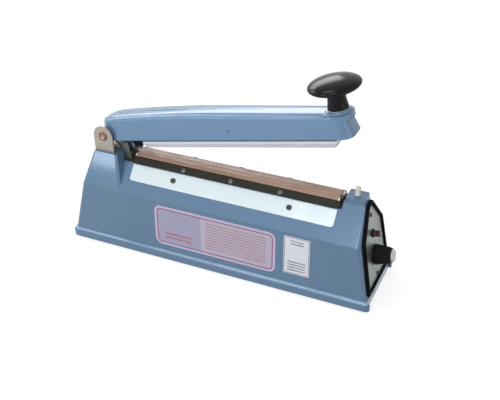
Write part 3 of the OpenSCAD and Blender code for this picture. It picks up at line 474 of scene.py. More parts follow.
def pinCentre(f, color):  # paler dish inside the brown ring of the pin's end
    spot = f.split(f.mapped(f.place, move=-hinge))
    rim = (limit * mm for limit in pinDish["radius"])
    return f.mix(f.ramp(f.reach(spot["X"], spot["Z"]), *rim, 1.0, 0.0), color, linear(*pinDish["tone"]))


def plasticFinish(name, tone, rough, mottle=0.12, peel=0.3, shine=0.5, coat=0.0, scale=1800.0):
    f = Finish(name, Coat_Roughness=0.05, Specular_IOR_Level=shine)
    skin = f.group("paintSkin", Peel=peel, Peel_scale=scale, Wave=0.3, Wave_scale=70.0)
    marks = f.group("handling", Scuff_start=0.7)
    color = f.mix(skin["Cloud"], toned(tone, 1 - mottle), toned(tone, 1 + mottle))
    color = f.mix(f.times(marks["Scuff"], 0.2), color, toned(tone, 1.5, 0.02))
    color = f.mix(f.dust(0.04), color, toned(tone, 0.5, 0.1))
    if coat:
        f.wire(Coat_Weight=f.dulled(marks["Smear"], coat, coat * 0.6))
    return f.wire(Base_Color=color, Roughness=f.dulled(marks["Smear"], rough, rough + 0.12),
                  Normal=f.bump(skin["Height"], 0.15, 0.0002))


def clothFinish(name, light, deep, yarns, rough):
    f = Finish(name, Sheen_Roughness=0.4, Sheen_Weight=0.15)
    weave = f.group("weave", Yarns_per_metre=yarns)
    stain = f.ramp(f.noise(f.mapped(f.place, (0.5, 3, 3)), 60.0, 4.0), 0.35, 0.7)
    color = f.mix(weave["Tone"], deep, light)
    color = f.mix(f.times(stain, 0.35), color, toned(deep, 0.6))
    color = f.mix(f.times(weave["Height"], 0.2), color, light)
    return f.wire(Base_Color=color, Roughness=f.dulled(stain, rough, rough + 0.15),
                  Normal=f.bump(weave["Height"], 0.25, 0.0001))


def ruledBars(f, place, row):  # soft printed lines inside a block of the label
    axes = f.split(place)

    def inside(axis, low, high, soft=0.15 * mm):
        return f.times(f.ramp(axes[axis], low * mm, low * mm + soft),
                       f.ramp(axes[axis], high * mm, high * mm + soft, 1.0, 0.0))

    block = f.times(inside("X", *row["across"]), inside("Z", *row["up"]))
    count = f.calc("DIVIDE", f.minus(axes["Z"], row["up"][0] * mm), row["pitch"] * mm)
    off = f.size(f.minus(f.calc("FRACT", count), 0.5))
    share = row["thick"] / row["pitch"] / 2
    bar = f.ramp(off, share, share + 0.06, 1.0, 0.0)
    return f.times(f.times(block, bar), f.ramp(f.noise(place, 90.0, 2.0), 0.3, 0.7, 0.65, 1.0))


def labelFinish(name, node, sizes, soft=0.12 * mm):
    f = Finish(name, Specular_IOR_Level=0.5)
    low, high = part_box(node)
    half = (high - low) / 2
    place = f.mapped(f.place, move=-(low + high) / 2)
    edge = f.group("frameLine", place, Half_width=half.x, Half_height=half.z, Radius=sizes["radius"] * mm)["Distance"]
    color = f.mix(f.noise(f.place, 25.0, 3.0), *sizes["stock"])
    if "panel" in sizes:
        start = sizes["panel"] * mm
        color = f.mix(f.ramp(f.split(place)["X"], start, start + soft), color, sizes["panelTone"])
    for row in sizes["rows"]:
        color = f.mix(f.times(ruledBars(f, place, row), row["share"]), color, row["tone"])
    rim, (inset, thick) = -sizes["rim"] * mm, (size * mm for size in sizes["line"])
    color = f.mix(f.ramp(edge, rim - soft, rim + soft), color, sizes["rimTone"])
    off = f.size(f.plus(edge, inset))
    color = f.mix(f.ramp(off, thick / 2, thick / 2 + soft, 1.0, 0.0), color, sizes["lineTone"])
    marks = f.group("handling", Scuff_start=0.69)
    color = f.mix(f.times(marks["Scuff"], 0.3), color, (0.6, 0.62, 0.66))
    return f.wire(Base_Color=color, Roughness=f.dulled(marks["Smear"], 0.3, 0.42),
                  Normal=f.bump(f.noise(f.place, 300.0, 2.0), 0.05, 0.0002))


def glassyLens(name, dark, light):
    f = Finish(name, IOR=1.49, Coat_Roughness=0.03)
    ring = f.noise(f.place, 500.0, 2.0)
    return f.wire(Base_Color=f.mix(ring, dark, light), Roughness=f.ramp(ring, 0.3, 0.7, 0.12, 0.2),
                  Coat_Weight=f.ramp(ring, 0.3, 0.7, 0.6, 0.4), Normal=f.bump(ring, 0.1, 0.0001))


instructionSizes = {  # millimetres, from the middle of the label
    "radius": 7.0, "rim": 2.6, "line": (3.1, 0.9), "panel": -14.0,
    "stock": (linear(158, 156, 184), linear(170, 168, 194)), "panelTone": linear(188, 180, 197),
    "rimTone": linear(196, 186, 214), "lineTone": linear(138, 62, 104),
    "rows": [
        {"across": (-9, 55), "up": (-15, 16), "pitch": 3.1, "thick": 1.35, "tone": linear(158, 96, 112), "share": 0.6},
        {"across": (-53, -24), "up": (-14.5, -5.5), "pitch": 4.5, "thick": 1.7, "tone": linear(170, 66, 92),
         "share": 0.75},
    ],
}
ratingInk = {"pitch": 3.0, "tone": linear(84, 84, 98), "share": 0.85}
ratingSizes = {
    "radius": 0.8, "rim": 0.0, "line": (0.9, 0.4),
    "stock": (linear(222, 224, 236), linear(232, 234, 243)),
    "rimTone": linear(232, 234, 243), "lineTone": linear(84, 84, 98),
    "rows": [
        {"across": (-9, 9), "up": (-17.5, -5.5), "thick": 1.2, **ratingInk},
        {"across": (-6.5, 6.5), "up": (11.5, 17.5), "thick": 1.3, **ratingInk},
    ],
}

metals = {  # slot: tone, then roughness, tone of the dark streaks, metallic, dust, extra
    "zinc_sheet": ((176, 180, 184), 0.34),
    "zinc_screw": ((160, 162, 165), 0.26),
    "dull_screw": ((104, 105, 104), 0.4, 0.7),
    "dark_screw": ((70, 72, 76), 0.35, 0.7),
    "polished_cover": ((220, 234, 240), 0.16, 0.93, 0.45, 0.03),
    "bar_aluminium": ((214, 214, 212), 0.3),
    "nichrome": ((150, 145, 138), 0.35),
    "bracket_steel": ((128, 130, 124), 0.36, 0.75),
    "hinge_steel": ((164, 157, 149), 0.42),
    "pin_steel": ((132, 92, 82), 0.4, 0.8, 1.0, 0.08, pinCentre),
    "spring_steel": ((88, 88, 90), 0.34),
    # the holder's aluminium carries a painted shadow at its top, under the arm
    "holder_aluminium": ((206, 208, 222), 0.3, 0.92, 0.7, 0.08, holderShadow),
    "panel_face": ((144, 149, 149), 0.34, 0.82),
    "core_steel": ((82, 86, 92), 0.45),
}
plastics = {  # slot: tone, then roughness, mottle, peel, shine, coat, scale of the peel
    "foot_rubber": ((24, 24, 25), 0.7, 0.2, 0.8, 0.2),
    "phenolic_base": ((56, 44, 37), 0.5, 0.25, 0.3, 0.2),
    "clamp_strip": ((44, 43, 36), 0.5, 0.2, 0.5, 0.15),
    "silicone": ((204, 202, 216), 0.45, 0.05, 0.4),
    "black_rubber": ((14, 14, 14), 0.7, 0.2, 0.7, 0.12),
    "knob_plastic": ((12, 11, 10), 0.15, 0.3, 0.06, 0.16, 0.0, 600.0),
    "frame_plastic": ((12, 14, 13), 0.6, 0.2, 0.5, 0.04),
    "timer_plastic": ((12, 12, 12), 0.45, 0.25, 0.5, 0.1),
    "cap_plastic": ((206, 209, 214), 0.25, 0.05, 0.2, 0.5, 0.3, 900.0),
    "phenolic_board": ((109, 122, 102), 0.5),
    "circuit_board": ((42, 104, 62), 0.4, 0.15),
    "plunger_plastic": ((226, 224, 214), 0.4, 0.05),
    "copper_coil": ((150, 92, 46), 0.4, 0.3),
}
finishes = {
    "body_paint": enamelFinish("body_paint"),
    # the arm's enamel carries a painted shade line in the groove beside its top edge
    "arm_paint": enamelFinish("arm_paint", 1.0, grooveShade),
    # the casing is the same enamel darkened as painted shade, with a painted highlight along the skirt's ledge
    "casing_paint": enamelFinish("casing_paint", 0.8, ledgeHighlight),
    "glass_tape": clothFinish("glass_tape", linear(190, 160, 125), linear(150, 118, 86), 1400.0, 0.6),
    "ptfe_cloth": clothFinish("ptfe_cloth", linear(186, 152, 130), linear(132, 96, 76), 1100.0, 0.36),
    "lamp_lens": glassyLens("lamp_lens", linear(56, 17, 22), linear(94, 33, 38)),
    "label_lilac": labelFinish("label_lilac", "instruction_label", instructionSizes),
    "label_white": labelFinish("label_white", "rating_label", ratingSizes),
}
for make, rows in ((metalFinish, metals), (plasticFinish, plastics)):
    for slot, (tone, *more) in rows.items():
        finishes[slot] = make(slot, linear(*tone), *more)

slotOf = {row["node"]: row["material_slot"] for row in frame["record"]["subparts"]}
for node, slot in slotOf.items():
    cadMesh = frame["nodes"][node].data
    cadMesh.materials.clear()
    cadMesh.materials.append(finishes[slot])
bodyOf = {node: body for body, nodes in frame["record"]["behaviour"]["bodies"].items() for node in nodes}
print("materials ready")

# Pieces with eased edges, made from the solids


def addPiece(name, mesh, nodes, slot=None, body=None, rides=True, finish=None):
    slot = slot or slotOf[nodes[0]]
    mesh.materials.clear()
    mesh.materials.append(finishes[finish or slot])
    piece = linked(name, mesh)
    if rides:
        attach(piece, body or bodyOf[nodes[0]])
    if nodes:
        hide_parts(*nodes)
    return piece


def applied(obj):  # the mesh with its modifiers worked in
    depsgraph = bpy.context.evaluated_depsgraph_get()
    mesh = bpy.data.meshes.new_from_object(obj.evaluated_get(depsgraph))
    bpy.data.objects.remove(obj)
    return mesh


def cleaned(mesh, gap, flat=None):  # doubles merged, edges flatter than flat taken out, faces outward
    bm = bmesh.new()
    bm.from_mesh(mesh)
    bmesh.ops.remove_doubles(bm, verts=bm.verts, dist=gap)
    if flat:
        bmesh.ops.dissolve_limit(bm, angle_limit=flat, verts=bm.verts, edges=bm.edges)
    bmesh.ops.recalc_face_normals(bm, faces=bm.faces)
    bm.to_mesh(mesh)
    bm.free()
    return mesh


def smooth(mesh, sharpest=None):  # edges over this many degrees stay sharp
    mesh.polygons.foreach_set("use_smooth", [True] * len(mesh.polygons))
    if sharpest:
        mesh.set_sharp_from_angle(angle=deg(sharpest))
    return mesh


def easedMesh(source, width, segments):
    obj = linked("easing", smooth(cleaned(source.copy(), 2e-6, deg(0.4))))
    bevel = obj.modifiers.new("ease", "BEVEL")
    bevel.width, bevel.segments = width * mm, segments
    bevel.limit_method, bevel.angle_limit = "ANGLE", deg(25)
    obj.modifiers.new("weight", "WEIGHTED_NORMAL").keep_sharp = True
    return applied(obj)


easing = {  # node: width of the eased edge, segments
    "casing": (1.3, 4), "bottom_plate": (0.3, 1), "side_cover_near": (0.25, 2), "side_cover_far": (0.25, 2),
    "bar_base": (0.3, 1), "seal_bar": (0.3, 2), "cloth_clamp_near": (0.3, 2), "cloth_clamp_far": (0.3, 2),
    "rear_end_bracket": (0.3, 2), "hinge_bracket": (0.6, 3), "pad_holder": (0.4, 2), "arm_stop": (0.6, 2),
    "panel_bezel": (0.5, 3), "control_panel": (0.12, 1), "knob_collar": (0.2, 2), "instruction_label": (0.1, 1),
    "rating_label": (0.1, 1), "knob_cap": (0.4, 3), "indicator_lamp": (0.5, 3), "lamp_holder": (0.2, 2),
    "rubber_feet": (0.5, 2), "switch_plunger": (0.3, 2), "transformer_core": (0.3, 1),
    "transformer_coil": (1.5, 3), "terminal_block": (0.4, 2), "cord_bushing": (0.4, 2),
}
for node, (width, segments) in easing.items():
    finish = "casing_paint" if node == "casing" else None
    addPiece(node + "_eased", easedMesh(frame["nodes"][node].data, width, segments), [node], finish=finish)

pad = addPiece("silicone_pad_strip", easedMesh(frame["nodes"]["silicone_pad"].data, 0.8, 3), ["silicone_pad"])
print("eased pieces ready")

# Helpers for meshes


def meshOf(name, points, faces, place=Matrix.Identity(4)):
    mesh = bpy.data.meshes.new(name)
    mesh.from_pydata([place @ (Vector(point) * mm) for point in points], [], faces)
    return cleaned(mesh, 1e-6)


def strips(rings, count):  # faces between rings of the same count
    return [(i * count + k, i * count + (k + 1) % count, (i + 1) * count + (k + 1) % count, (i + 1) * count + k)
            for i in range(rings - 1) for k in range(count)]


def turned(profile, sides):  # points and faces of a lathe shape about Z, from (radius, height) pairs
    angles = [math.tau * k / sides for k in range(sides)]
    points = [(radius * math.cos(angle), radius * math.sin(angle), height)
              for radius, height in profile for angle in angles]
    faces = strips(len(profile), sides)
    for i in (0, len(profile) - 1):
        if profile[i][0] > 1e-6:
            ring = [i * sides + k for k in range(sides)]
            faces.append(ring if i else ring[::-1])
    return points, faces


def cutOrJoin(base, others):  # boolean steps on a mesh: each other is (mesh, operation)
    obj = linked("shaping", base)
    tools = []
    for mesh, operation in others:
        tools.append(linked("tool", mesh))
        step = obj.modifiers.new("step", "BOOLEAN")
        step.operation, step.solver, step.object = operation, "EXACT", tools[-1]
    result = applied(obj)
    for tool in tools:
        bpy.data.objects.remove(tool)
    return result


# Arm casting

armPin = {"along": 137.9, "height": 3.2, "half": 13.8, "headR": 2.0, "headH": 1.3, "shankR": 1.96, "bore": 2.05}
armSizes = {
    "rear": (-8.0, -4.0), "nose": (257.4, 251.7),  # at the lower and the upper edge, as the next three
    "half": (15.5, 13.1), "rearRound": (13.0, 12.4), "noseRound": (10.5, 8.2),
    "low": -6.8, "lowEdge": 1.0, "edgeDrop": 2.6, "levels": 8,
    # height of the top along the arm, then drop from it by distance from the edge
    "top": [(1.0, 15.2), (12.0, 16.5), (38.0, 17.7), (60.0, 18.3), (95.0, 18.6), (130.0, 17.9), (190.0, 16.2),
            (258.0, 14.3)],
    "rearArc": (5.2, 2.0),
    "inward": [(0.12, 2.2), (0.5, 1.65), (1.1, 1.3), (1.9, 1.12), (2.7, 1.02), (3.4, 1.0), (4.1, 0.82), (4.9, 0.5),
               (6.0, 0.25), (7.5, 0.1), (9.5, 0.02), (12.4, 0.0)],
    "hollow": [(-6, -7.8), (-6, -4), (-2.5, 4), (3, 9.8), (95, 15.2), (249.1, 11.6), (249.1, -7.8)],
    "hollowHalf": 10.7,
    "boss": (243.1, 14.5),  # place along the arm and height, then radius and rise of its steps
    "bossSteps": [(0, -5), (14.0, -5), (13.6, -0.4), (12.4, 0.1), (11.7, 0.7), (11.3, 1.5), (10.9, 1.95), (10.4, 2.1),
                  (0, 2.1)],
    "bores": [(0, 0, 6.9, 7.6), (0, 0, 3.05, 31), (armPin["along"], armPin["height"], armPin["bore"], 31)],
}


def curveThrough(pairs, x):  # smooth value between listed points
    if x <= pairs[0][0]:
        return pairs[0][1]
    for i in range(len(pairs) - 1):
        (x0, y0), (x1, y1) = pairs[i], pairs[i + 1]
        if x <= x1:
            before = pairs[i - 1] if i else (x0 - 1, y0 - (y1 - y0) / (x1 - x0))
            after = pairs[i + 2] if i + 2 < len(pairs) else (x1 + 1, y1 + (y1 - y0) / (x1 - x0))
            m0, m1 = (y1 - before[1]) / (x1 - before[0]), (after[1] - y0) / (after[0] - x0)
            span, t = x1 - x0, (x - x0) / (x1 - x0)
            return ((1 + 2 * t) * (1 - t) ** 2 * y0 + t * (1 - t) ** 2 * span * m0
                    + t * t * (3 - 2 * t) * y1 + t * t * (t - 1) * span * m1)
    return pairs[-1][1]


def armTop(x, sizes):
    first, height = sizes["top"][0]
    if x >= first:
        return curveThrough(sizes["top"], x)
    reach, drop = sizes["rearArc"]
    return height - drop + drop * math.sqrt(max(0.0, 1 - ((first - x) / reach) ** 2))


def armOutline(rear, nose, half, rearRound, noseRound, cornerSteps=10, sideSteps=26):  # plan of one level
    points = []
    for end, radius, way in ((nose, noseRound, -1), (rear, rearRound, 1)):  # way is towards the middle
        for side in (way, -way):
            centre = (end + way * radius, side * (half - radius))
            first = {(-1, -1): -90, (-1, 1): 0, (1, 1): 90, (1, -1): 180}[way, side]
            for i in range(cornerSteps + 1):
                angle = deg(first + 90 * i / cornerSteps)
                points.append((centre[0] + radius * math.cos(angle), centre[1] + radius * math.sin(angle)))
        a, b = points[-1], (rear + rearRound, half) if way < 0 else (nose - noseRound, -half)
        points += [(a[0] + (b[0] - a[0]) * i / sideSteps, a[1] + (b[1] - a[1]) * i / sideSteps)
                   for i in range(1, sideSteps)]
    return points


def makeArm(sizes):
    def level(share, inset=0.0):
        ends = [sizes[key] for key in ("rear", "nose", "half", "rearRound", "noseRound")]
        rear, nose, half, *rounds = (low + (high - low) * share for low, high in ends)
        return armOutline(rear + inset, nose - inset, half - inset, *(max(0.3, radius - inset) for radius in rounds))

    low, edge = sizes["low"], sizes["lowEdge"]
    rings = [[(x, y, low + rise) for x, y in level(0, inset)]
             for inset, rise in ((edge, 0.0), (edge * 0.3, edge * 0.3), (0.0, edge))]
    for step in range(1, sizes["levels"] + 1):
        share = step / sizes["levels"]
        rings.append([(x, y, low + edge + (armTop(x, sizes) - sizes["edgeDrop"] - low - edge) * share)
                      for x, y in level(share)])
    for inset, drop in sizes["inward"]:
        rings.append([(x, y, armTop(x, sizes) - drop) for x, y in level(1, inset)])
    count = len(rings[0])
    points = [point for ring in rings for point in ring]
    ends = [list(range(count))[::-1], list(range(len(points) - count, len(points)))]
    outside = meshOf("arm", points, strips(len(rings), count) + ends)

    bossX, bossH = sizes["boss"]
    boss, faces = turned([(radius, bossH + rise) for radius, rise in sizes["bossSteps"]], 64)
    bossMesh = meshOf("boss", [(x + bossX, y, z) for x, y, z in boss], faces)
    reach, profile = sizes["hollowHalf"], sizes["hollow"]
    count = len(profile)
    hollow = meshOf("hollow", [(x, side * reach, z) for side in (-1, 1) for x, z in profile],
                    [list(range(count)), list(range(count, 2 * count))[::-1]]
                    + [(k, (k + 1) % count, count + (k + 1) % count, count + k) for k in range(count)])
    steps = [(bossMesh, "UNION"), (hollow, "DIFFERENCE")]
    for x, z, radius, half in sizes["bores"]:
        bore, faces = turned([(radius, -half), (radius, half)], 40)
        steps.append((meshOf("bore", [(x + px, pz, z + py) for px, py, pz in bore], faces), "DIFFERENCE"))
    mesh = cutOrJoin(outside, steps)
    mesh.transform(armFrame)
    return smooth(mesh, 28)


addPiece("arm_shell", makeArm(armSizes), ["arm_casting"], finish="arm_paint")
print("arm ready")

# Handle knob

knobSizes = {
    "along": 243.1, "foot": 17.4, "footR": 9.6, "footEdge": 0.3, "neckR": 8.2, "neckShare": 1.16, "middle": 38.2,
    "headR": 23.8, "headT": 14.0, "headFrom": -64, "sides": 96, "bore": (3.02, 29.4), "steps": (8, 6, 32),
}


def makeKnob(z):
    half, foot, start = z["headT"] / 2, z["foot"] + z["footEdge"], z["headFrom"]
    neckTop = z["middle"] - half * z["neckShare"]

    def head(angle):
        return z["headR"] * math.cos(angle), z["middle"] + half * math.sin(angle)

    def between(a, b, share):
        return a + (b - a) * share

    bore, deep = z["bore"]
    profile = [(0, deep), (bore, deep), (bore, z["foot"]), (z["footR"] - z["footEdge"], z["foot"]), (z["footR"], foot)]
    neck, fillet, dome = ([(i + 1) / steps for i in range(steps)] for steps in z["steps"])
    profile += [(between(z["footR"], z["neckR"], math.sin(t * math.pi / 2)), between(foot, neckTop, t)) for t in neck]
    rim, under = head(deg(start))
    profile += [(between(z["neckR"], rim, t), between(neckTop, under, math.sin(t * math.pi / 2))) for t in fillet]
    profile += [head(deg(between(start, 90, t))) for t in dome]
    points, faces = turned(profile, z["sides"])
    return smooth(meshOf("knob", [(px + z["along"], py, pz) for px, py, pz in points], faces, armFrame), 40)


addPiece("knob_head", makeKnob(knobSizes), ["handle_knob"])
print("knob ready")

# Trees of Geometry Nodes for what repeats


def makeTree(name, inputs, build):  # inputs: name and first value
    tree = bpy.data.node_groups.new(name, "GeometryNodeTree")
    g = Graph(tree)
    g.socket("Geometry", "Geometry")
    for label, value in inputs.items():
        g.socket(label, "Int" if isinstance(value, int) else "Float").default_value = value
    g.socket("Material", "Material")
    g.socket("Geometry", "Geometry", "OUTPUT")
    given = tree.nodes.new("NodeGroupInput").outputs
    plain = g.add("GeometryNodeRealizeInstances", Geometry=build(g, given)).outputs[0]
    painted = g.add("GeometryNodeSetMaterial", Geometry=plain, Material=given["Material"]).outputs[0]
    g.put(tree.nodes.new("NodeGroupOutput"), "Geometry", painted)
    return tree


def grown(tree, values, finish, base=None, sharpest=35):  # run a tree and return the plain result
    obj = linked("growing", base or bpy.data.meshes.new("seed"))
    step = obj.modifiers.new("grow", "NODES")
    step.node_group = tree
    names = {item.name: item.identifier for item in tree.interface.items_tree if item.in_out == "INPUT"}
    for label, value in {**values, "Material": finishes[finish]}.items():
        step[names[label]] = value
    return smooth(applied(obj), sharpest)


crossHead = {"fall": -0.97, "seat": 0.05 * mm, "slotLong": 1.2, "slotWide": 0.26, "slotRise": 1.05}


def buildScrews(g, given):
    radius, height, long = given["Head radius"], given["Head height"], given["Shank length"]
    disc = g.lifted(g.drum(36, radius, height, Fill_Segments=6), g.times(height, 0.5))
    spot = g.spot()
    out = g.plus(g.times(spot["X"], spot["X"]), g.times(spot["Y"], spot["Y"]))
    share = g.calc("DIVIDE", out, g.times(radius, radius))
    crown = g.calc("SQRT", g.calc("MAXIMUM", g.calc("MULTIPLY_ADD", share, crossHead["fall"], 1.0), 0.0))
    top = g.times(height, g.calc("MULTIPLY_ADD", crown, 0.5, 0.5))
    up = g.calc("GREATER_THAN", spot["Z"], g.times(height, 0.5))
    domed = g.moved(disc, g.join(spot["X"], spot["Y"], top), Selection=up)
    shank = g.lifted(g.drum(20, given["Shank radius"], long), g.calc("MULTIPLY_ADD", long, -0.5, crossHead["seat"]))
    slots = []
    for sides in (("slotLong", "slotWide"), ("slotWide", "slotLong")):
        block = g.block(*(g.times(radius, crossHead[side]) for side in sides), height)
        slots.append(g.lifted(block, g.times(height, crossHead["slotRise"])))
    cut = g.boolean("DIFFERENCE", *slots, base=g.boolean("UNION", shank, domed))
    axis = g.add("GeometryNodeInputNamedAttribute", {"data_type": "FLOAT_VECTOR"}, Name="axis").outputs["Attribute"]
    facing = g.add("FunctionNodeAlignRotationToVector", {"axis": "Z"}, Vector=axis).outputs[0]
    spin = g.add("FunctionNodeRandomValue", {"data_type": "FLOAT"}, Seed=given["Seed"])
    spin.inputs[3].default_value = math.pi / 2
    turn = g.add("FunctionNodeRotateRotation", {"rotation_space": "LOCAL"}, Rotation=facing,
                 Rotate_By=g.about(spin.outputs[1]))
    return g.placed(given["Geometry"], cut, turn.outputs[0])


screwTree = makeTree("crossHeadScrews", {"Head radius": 0.002, "Head height": 0.001, "Shank radius": 0.001,
                                         "Shank length": 0.005, "Seed": 4}, buildScrews)


def islandsOf(mesh):  # corner points of each loose part
    bm = bmesh.new()
    bm.from_mesh(mesh)
    bmesh.ops.remove_doubles(bm, verts=bm.verts, dist=2e-6)
    seen, islands = set(), []
    for first in bm.verts:
        if first in seen:
            continue
        seen.add(first)
        edge, group = [first], []
        while edge:
            vert = edge.pop()
            group.append(vert.co.copy())
            for link in vert.link_edges:
                other = link.other_vert(vert)
                if other not in seen:
                    seen.add(other)
                    edge.append(other)
        islands.append(group)
    bm.free()
    return sorted(islands, key=lambda group: tuple(round(v, 5) for v in sum(group, Vector()) / len(group)))


def pointMesh(places):  # (point, axis) pairs in metres
    mesh = bpy.data.meshes.new("places")
    mesh.from_pydata([point for point, _ in places], [], [])
    mark = mesh.attributes.new("axis", "FLOAT_VECTOR", "POINT")
    for i, (_, axis) in enumerate(places):
        mark.data[i].vector = axis
    return mesh


def addScrews(name, node, places, sizes, seed, slot=None, finish=None):
    values = dict(zip(("Head radius", "Head height", "Shank radius", "Shank length"), sizes), Seed=seed)
    slot = slot or slotOf[node]
    addPiece(name, grown(screwTree, values, slot, pointMesh(places)), [node], slot, finish=finish)


coverSlope = (0.743, 0.669)  # outward and up
screwRows = {  # node: head radius, head height, axis, slot
    "cloth_clamp_screws": (2.3, 1.3, None, "bracket_steel"),
    "side_cover_screws": (2.6, 1.5, None, None),
    "hinge_bracket_screws": (2.9, 1.8, (0, 0, 1), None),
    "end_bracket_screws": (2.0, 1.4, (0, 0, 1), None),
    "panel_screws": (2.0, 1.1, dialFrame.to_3x3() @ Vector((1, 0, 0)), None),
    "base_screws": (2.6, 0.9, (0, 0, -1), None),
}
shankShare = 0.45
for seed, (node, (radius, height, axis, slot)) in enumerate(screwRows.items()):
    places, long = [], 1.0
    for points in islandsOf(frame["nodes"][node].data):
        centre = sum(points, Vector()) / len(points)
        outward = Vector((0, math.copysign(coverSlope[0], centre.y), coverSlope[1]))
        way = Vector(axis) if axis else outward.normalized()
        reach = [point.dot(way) for point in points]
        long = max(reach) - min(reach) - height * mm
        places.append((centre + way * (max(reach) - height * mm - centre.dot(way)), way))
    sizes = (radius * mm, height * mm, radius * shankShare * mm, long)
    addScrews(node + "_cross", node, places, sizes, seed, slot, "dull_screw" if slot else None)

pinEnds = [(armFrame @ (Vector((armPin["along"], side * armPin["half"], armPin["height"])) * mm), Vector((0, side, 0)))
           for side in (-1, 1)]
pinSizes = [armPin[key] * mm for key in ("headR", "headH", "shankR", "half")]
addScrews("holder_pin_ends", "holder_pin", pinEnds, pinSizes, 9, "body_paint")
print("screws ready")

# Timer knob

timerSizes = {
    "foot": 9.8, "footThick": 1.6, "low": 9.1, "tip": 7.0, "length": 16.5, "clear": 0.8, "ribs": 20, "ribRise": 0.55,
    "round": 0.5, "seat": (6.2, 1.25), "nutRoom": (7.0, 3.0), "bore": (3.02, 4),
    # shares of the length where things start and end
    "flangeFade": 0.03, "ribFrom": (0.08, 0.14), "ribTo": (0.84, 0.93), "roundFrom": 0.95,
}


def buildTimer(g, given):  # flange, tapered body and rounded ribs from one rule
    long, z = given["Length"], timerSizes
    tube = g.drum(160, 1.0, long, Side_Segments=40, Fill_Segments=2)
    spot = g.spot()
    share = g.plus(g.calc("DIVIDE", spot["Z"], long), 0.5)
    angle = g.calc("ARCTAN2", spot["Y"], spot["X"])
    cone = g.plus(g.times(given["Low radius"], g.minus(1.0, share)), g.times(given["Tip radius"], share))
    ridge = g.calc("POWER", g.size(g.calc("COSINE", g.times(angle, g.times(given["Ribs"], 0.5)))), 3.0)
    band = g.times(g.ramp(share, *z["ribFrom"]), g.ramp(share, *z["ribTo"], 1.0, 0.0))
    ribbed = g.plus(cone, g.times(g.times(ridge, band), given["Rib rise"]))
    edge = given["Flange share"]
    flange = g.ramp(share, edge, g.plus(edge, z["flangeFade"]), 1.0, 0.0)
    wide = g.plus(ribbed, g.times(flange, g.minus(given["Foot radius"], ribbed)))
    tip = g.times(g.calc("POWER", g.ramp(share, z["roundFrom"], 1.0), 2.0), given["Rounding"])
    radius = g.minus(wide, tip)
    shaped = g.moved(tube, g.join(g.times(spot["X"], radius), g.times(spot["Y"], radius), g.times(share, long)))
    drills, under, over = [], -1 * mm, 30 * mm  # they reach past both ends
    for name, start, end in (("Seat", given["Seat height"], over), ("Nut", under, given["Nut height"]),
                             ("Bore", under, given["Bore height"])):
        drill = g.drum(64, given[name + " radius"], g.minus(end, start))
        drills.append(g.lifted(drill, g.times(g.plus(start, end), 0.5)))
    return g.boolean("DIFFERENCE", *drills, base=shaped)


def makeTimer(z):
    tall = z["length"] - z["clear"]
    lengths = {
        "Length": tall, "Foot radius": z["foot"], "Low radius": z["low"], "Tip radius": z["tip"],
        "Rib rise": z["ribRise"], "Rounding": z["round"], "Seat radius": z["seat"][0],
        "Seat height": tall - z["seat"][1], "Nut radius": z["nutRoom"][0], "Nut height": z["nutRoom"][1],
        "Bore radius": z["bore"][0], "Bore height": tall - z["bore"][1]}
    values = {"Ribs": z["ribs"], "Flange share": z["footThick"] / tall}
    values.update({label: value * mm for label, value in lengths.items()})
    mesh = grown(makeTree("ribbedKnob", values, buildTimer), values, "timer_plastic", sharpest=40)
    mesh.transform(dialFrame @ Matrix.Rotation(deg(90), 4, "Y") @ Matrix.Translation((0, 0, z["clear"] * mm)))
    return mesh


addPiece("timer_knob_ribbed", makeTimer(timerSizes), ["timer_knob"])

# Scale round the timer knob

scaleSizes = {"ticks": 15, "from": -140, "sweep": 280, "inner": 10.5, "tick": (1.3, 0.3), "thick": 0.06, "numbers": 8,
              "numberAt": 13.4, "numberTall": 2.3}


def buildTicks(g, given):
    line = g.add("GeometryNodeMeshLine", Count=given["Ticks"]).outputs[0]
    index = g.add("GeometryNodeInputIndex").outputs[0]
    angle = g.plus(g.times(index, given["Step"]), given["Start"])
    far = g.plus(given["Inner radius"], g.times(given["Tick length"], 0.5))
    ring = g.moved(line, g.join(g.times(g.calc("COSINE", angle), far), g.times(g.calc("SINE", angle), far), 0.0))
    block = g.block(given["Tick length"], given["Tick width"], given["Thickness"])
    return g.placed(ring, block, g.about(angle))


def makeScale(z):
    first = 90 - z["from"]
    values = {
        "Ticks": z["ticks"], "Start": deg(first - z["sweep"]), "Step": deg(z["sweep"] / (z["ticks"] - 1)),
        "Inner radius": z["inner"] * mm, "Tick length": z["tick"][0] * mm, "Tick width": z["tick"][1] * mm,
        "Thickness": z["thick"] * mm}
    ticks = grown(makeTree("dialTicks", values, buildTicks), values, "frame_plastic")
    bm = bmesh.new()
    bm.from_mesh(ticks)
    for k in range(z["numbers"]):
        angle = deg(first - z["sweep"] * k / (z["numbers"] - 1))
        text = bpy.data.curves.new("number", "FONT")
        text.body, text.size, text.extrude = str(k + 1), z["numberTall"] * mm, z["thick"] / 2 * mm
        text.align_x, text.align_y = "CENTER", "CENTER"
        digit = applied(linked("number", text))
        place = Vector((math.cos(angle), math.sin(angle), 0)) * z["numberAt"] * mm
        digit.transform(Matrix.Translation(place))
        bm.from_mesh(digit)
    mesh = bpy.data.meshes.new("scale")
    bm.to_mesh(mesh)
    bm.free()
    # from the drawing plane (X right, Y up) to the panel's face (Y right, Z up)
    upright = Matrix(((0, 0, 1, 0), (1, 0, 0, 0), (0, 1, 0, 0), (0, 0, 0, 1)))
    mesh.transform(dialFrame @ Matrix.Translation((z["thick"] / 2 * mm, 0, 0)) @ upright)
    return mesh


addPiece("timer_scale", makeScale(scaleSizes), [], "frame_plastic", "base")
print("timer ready")

# Hinge pin

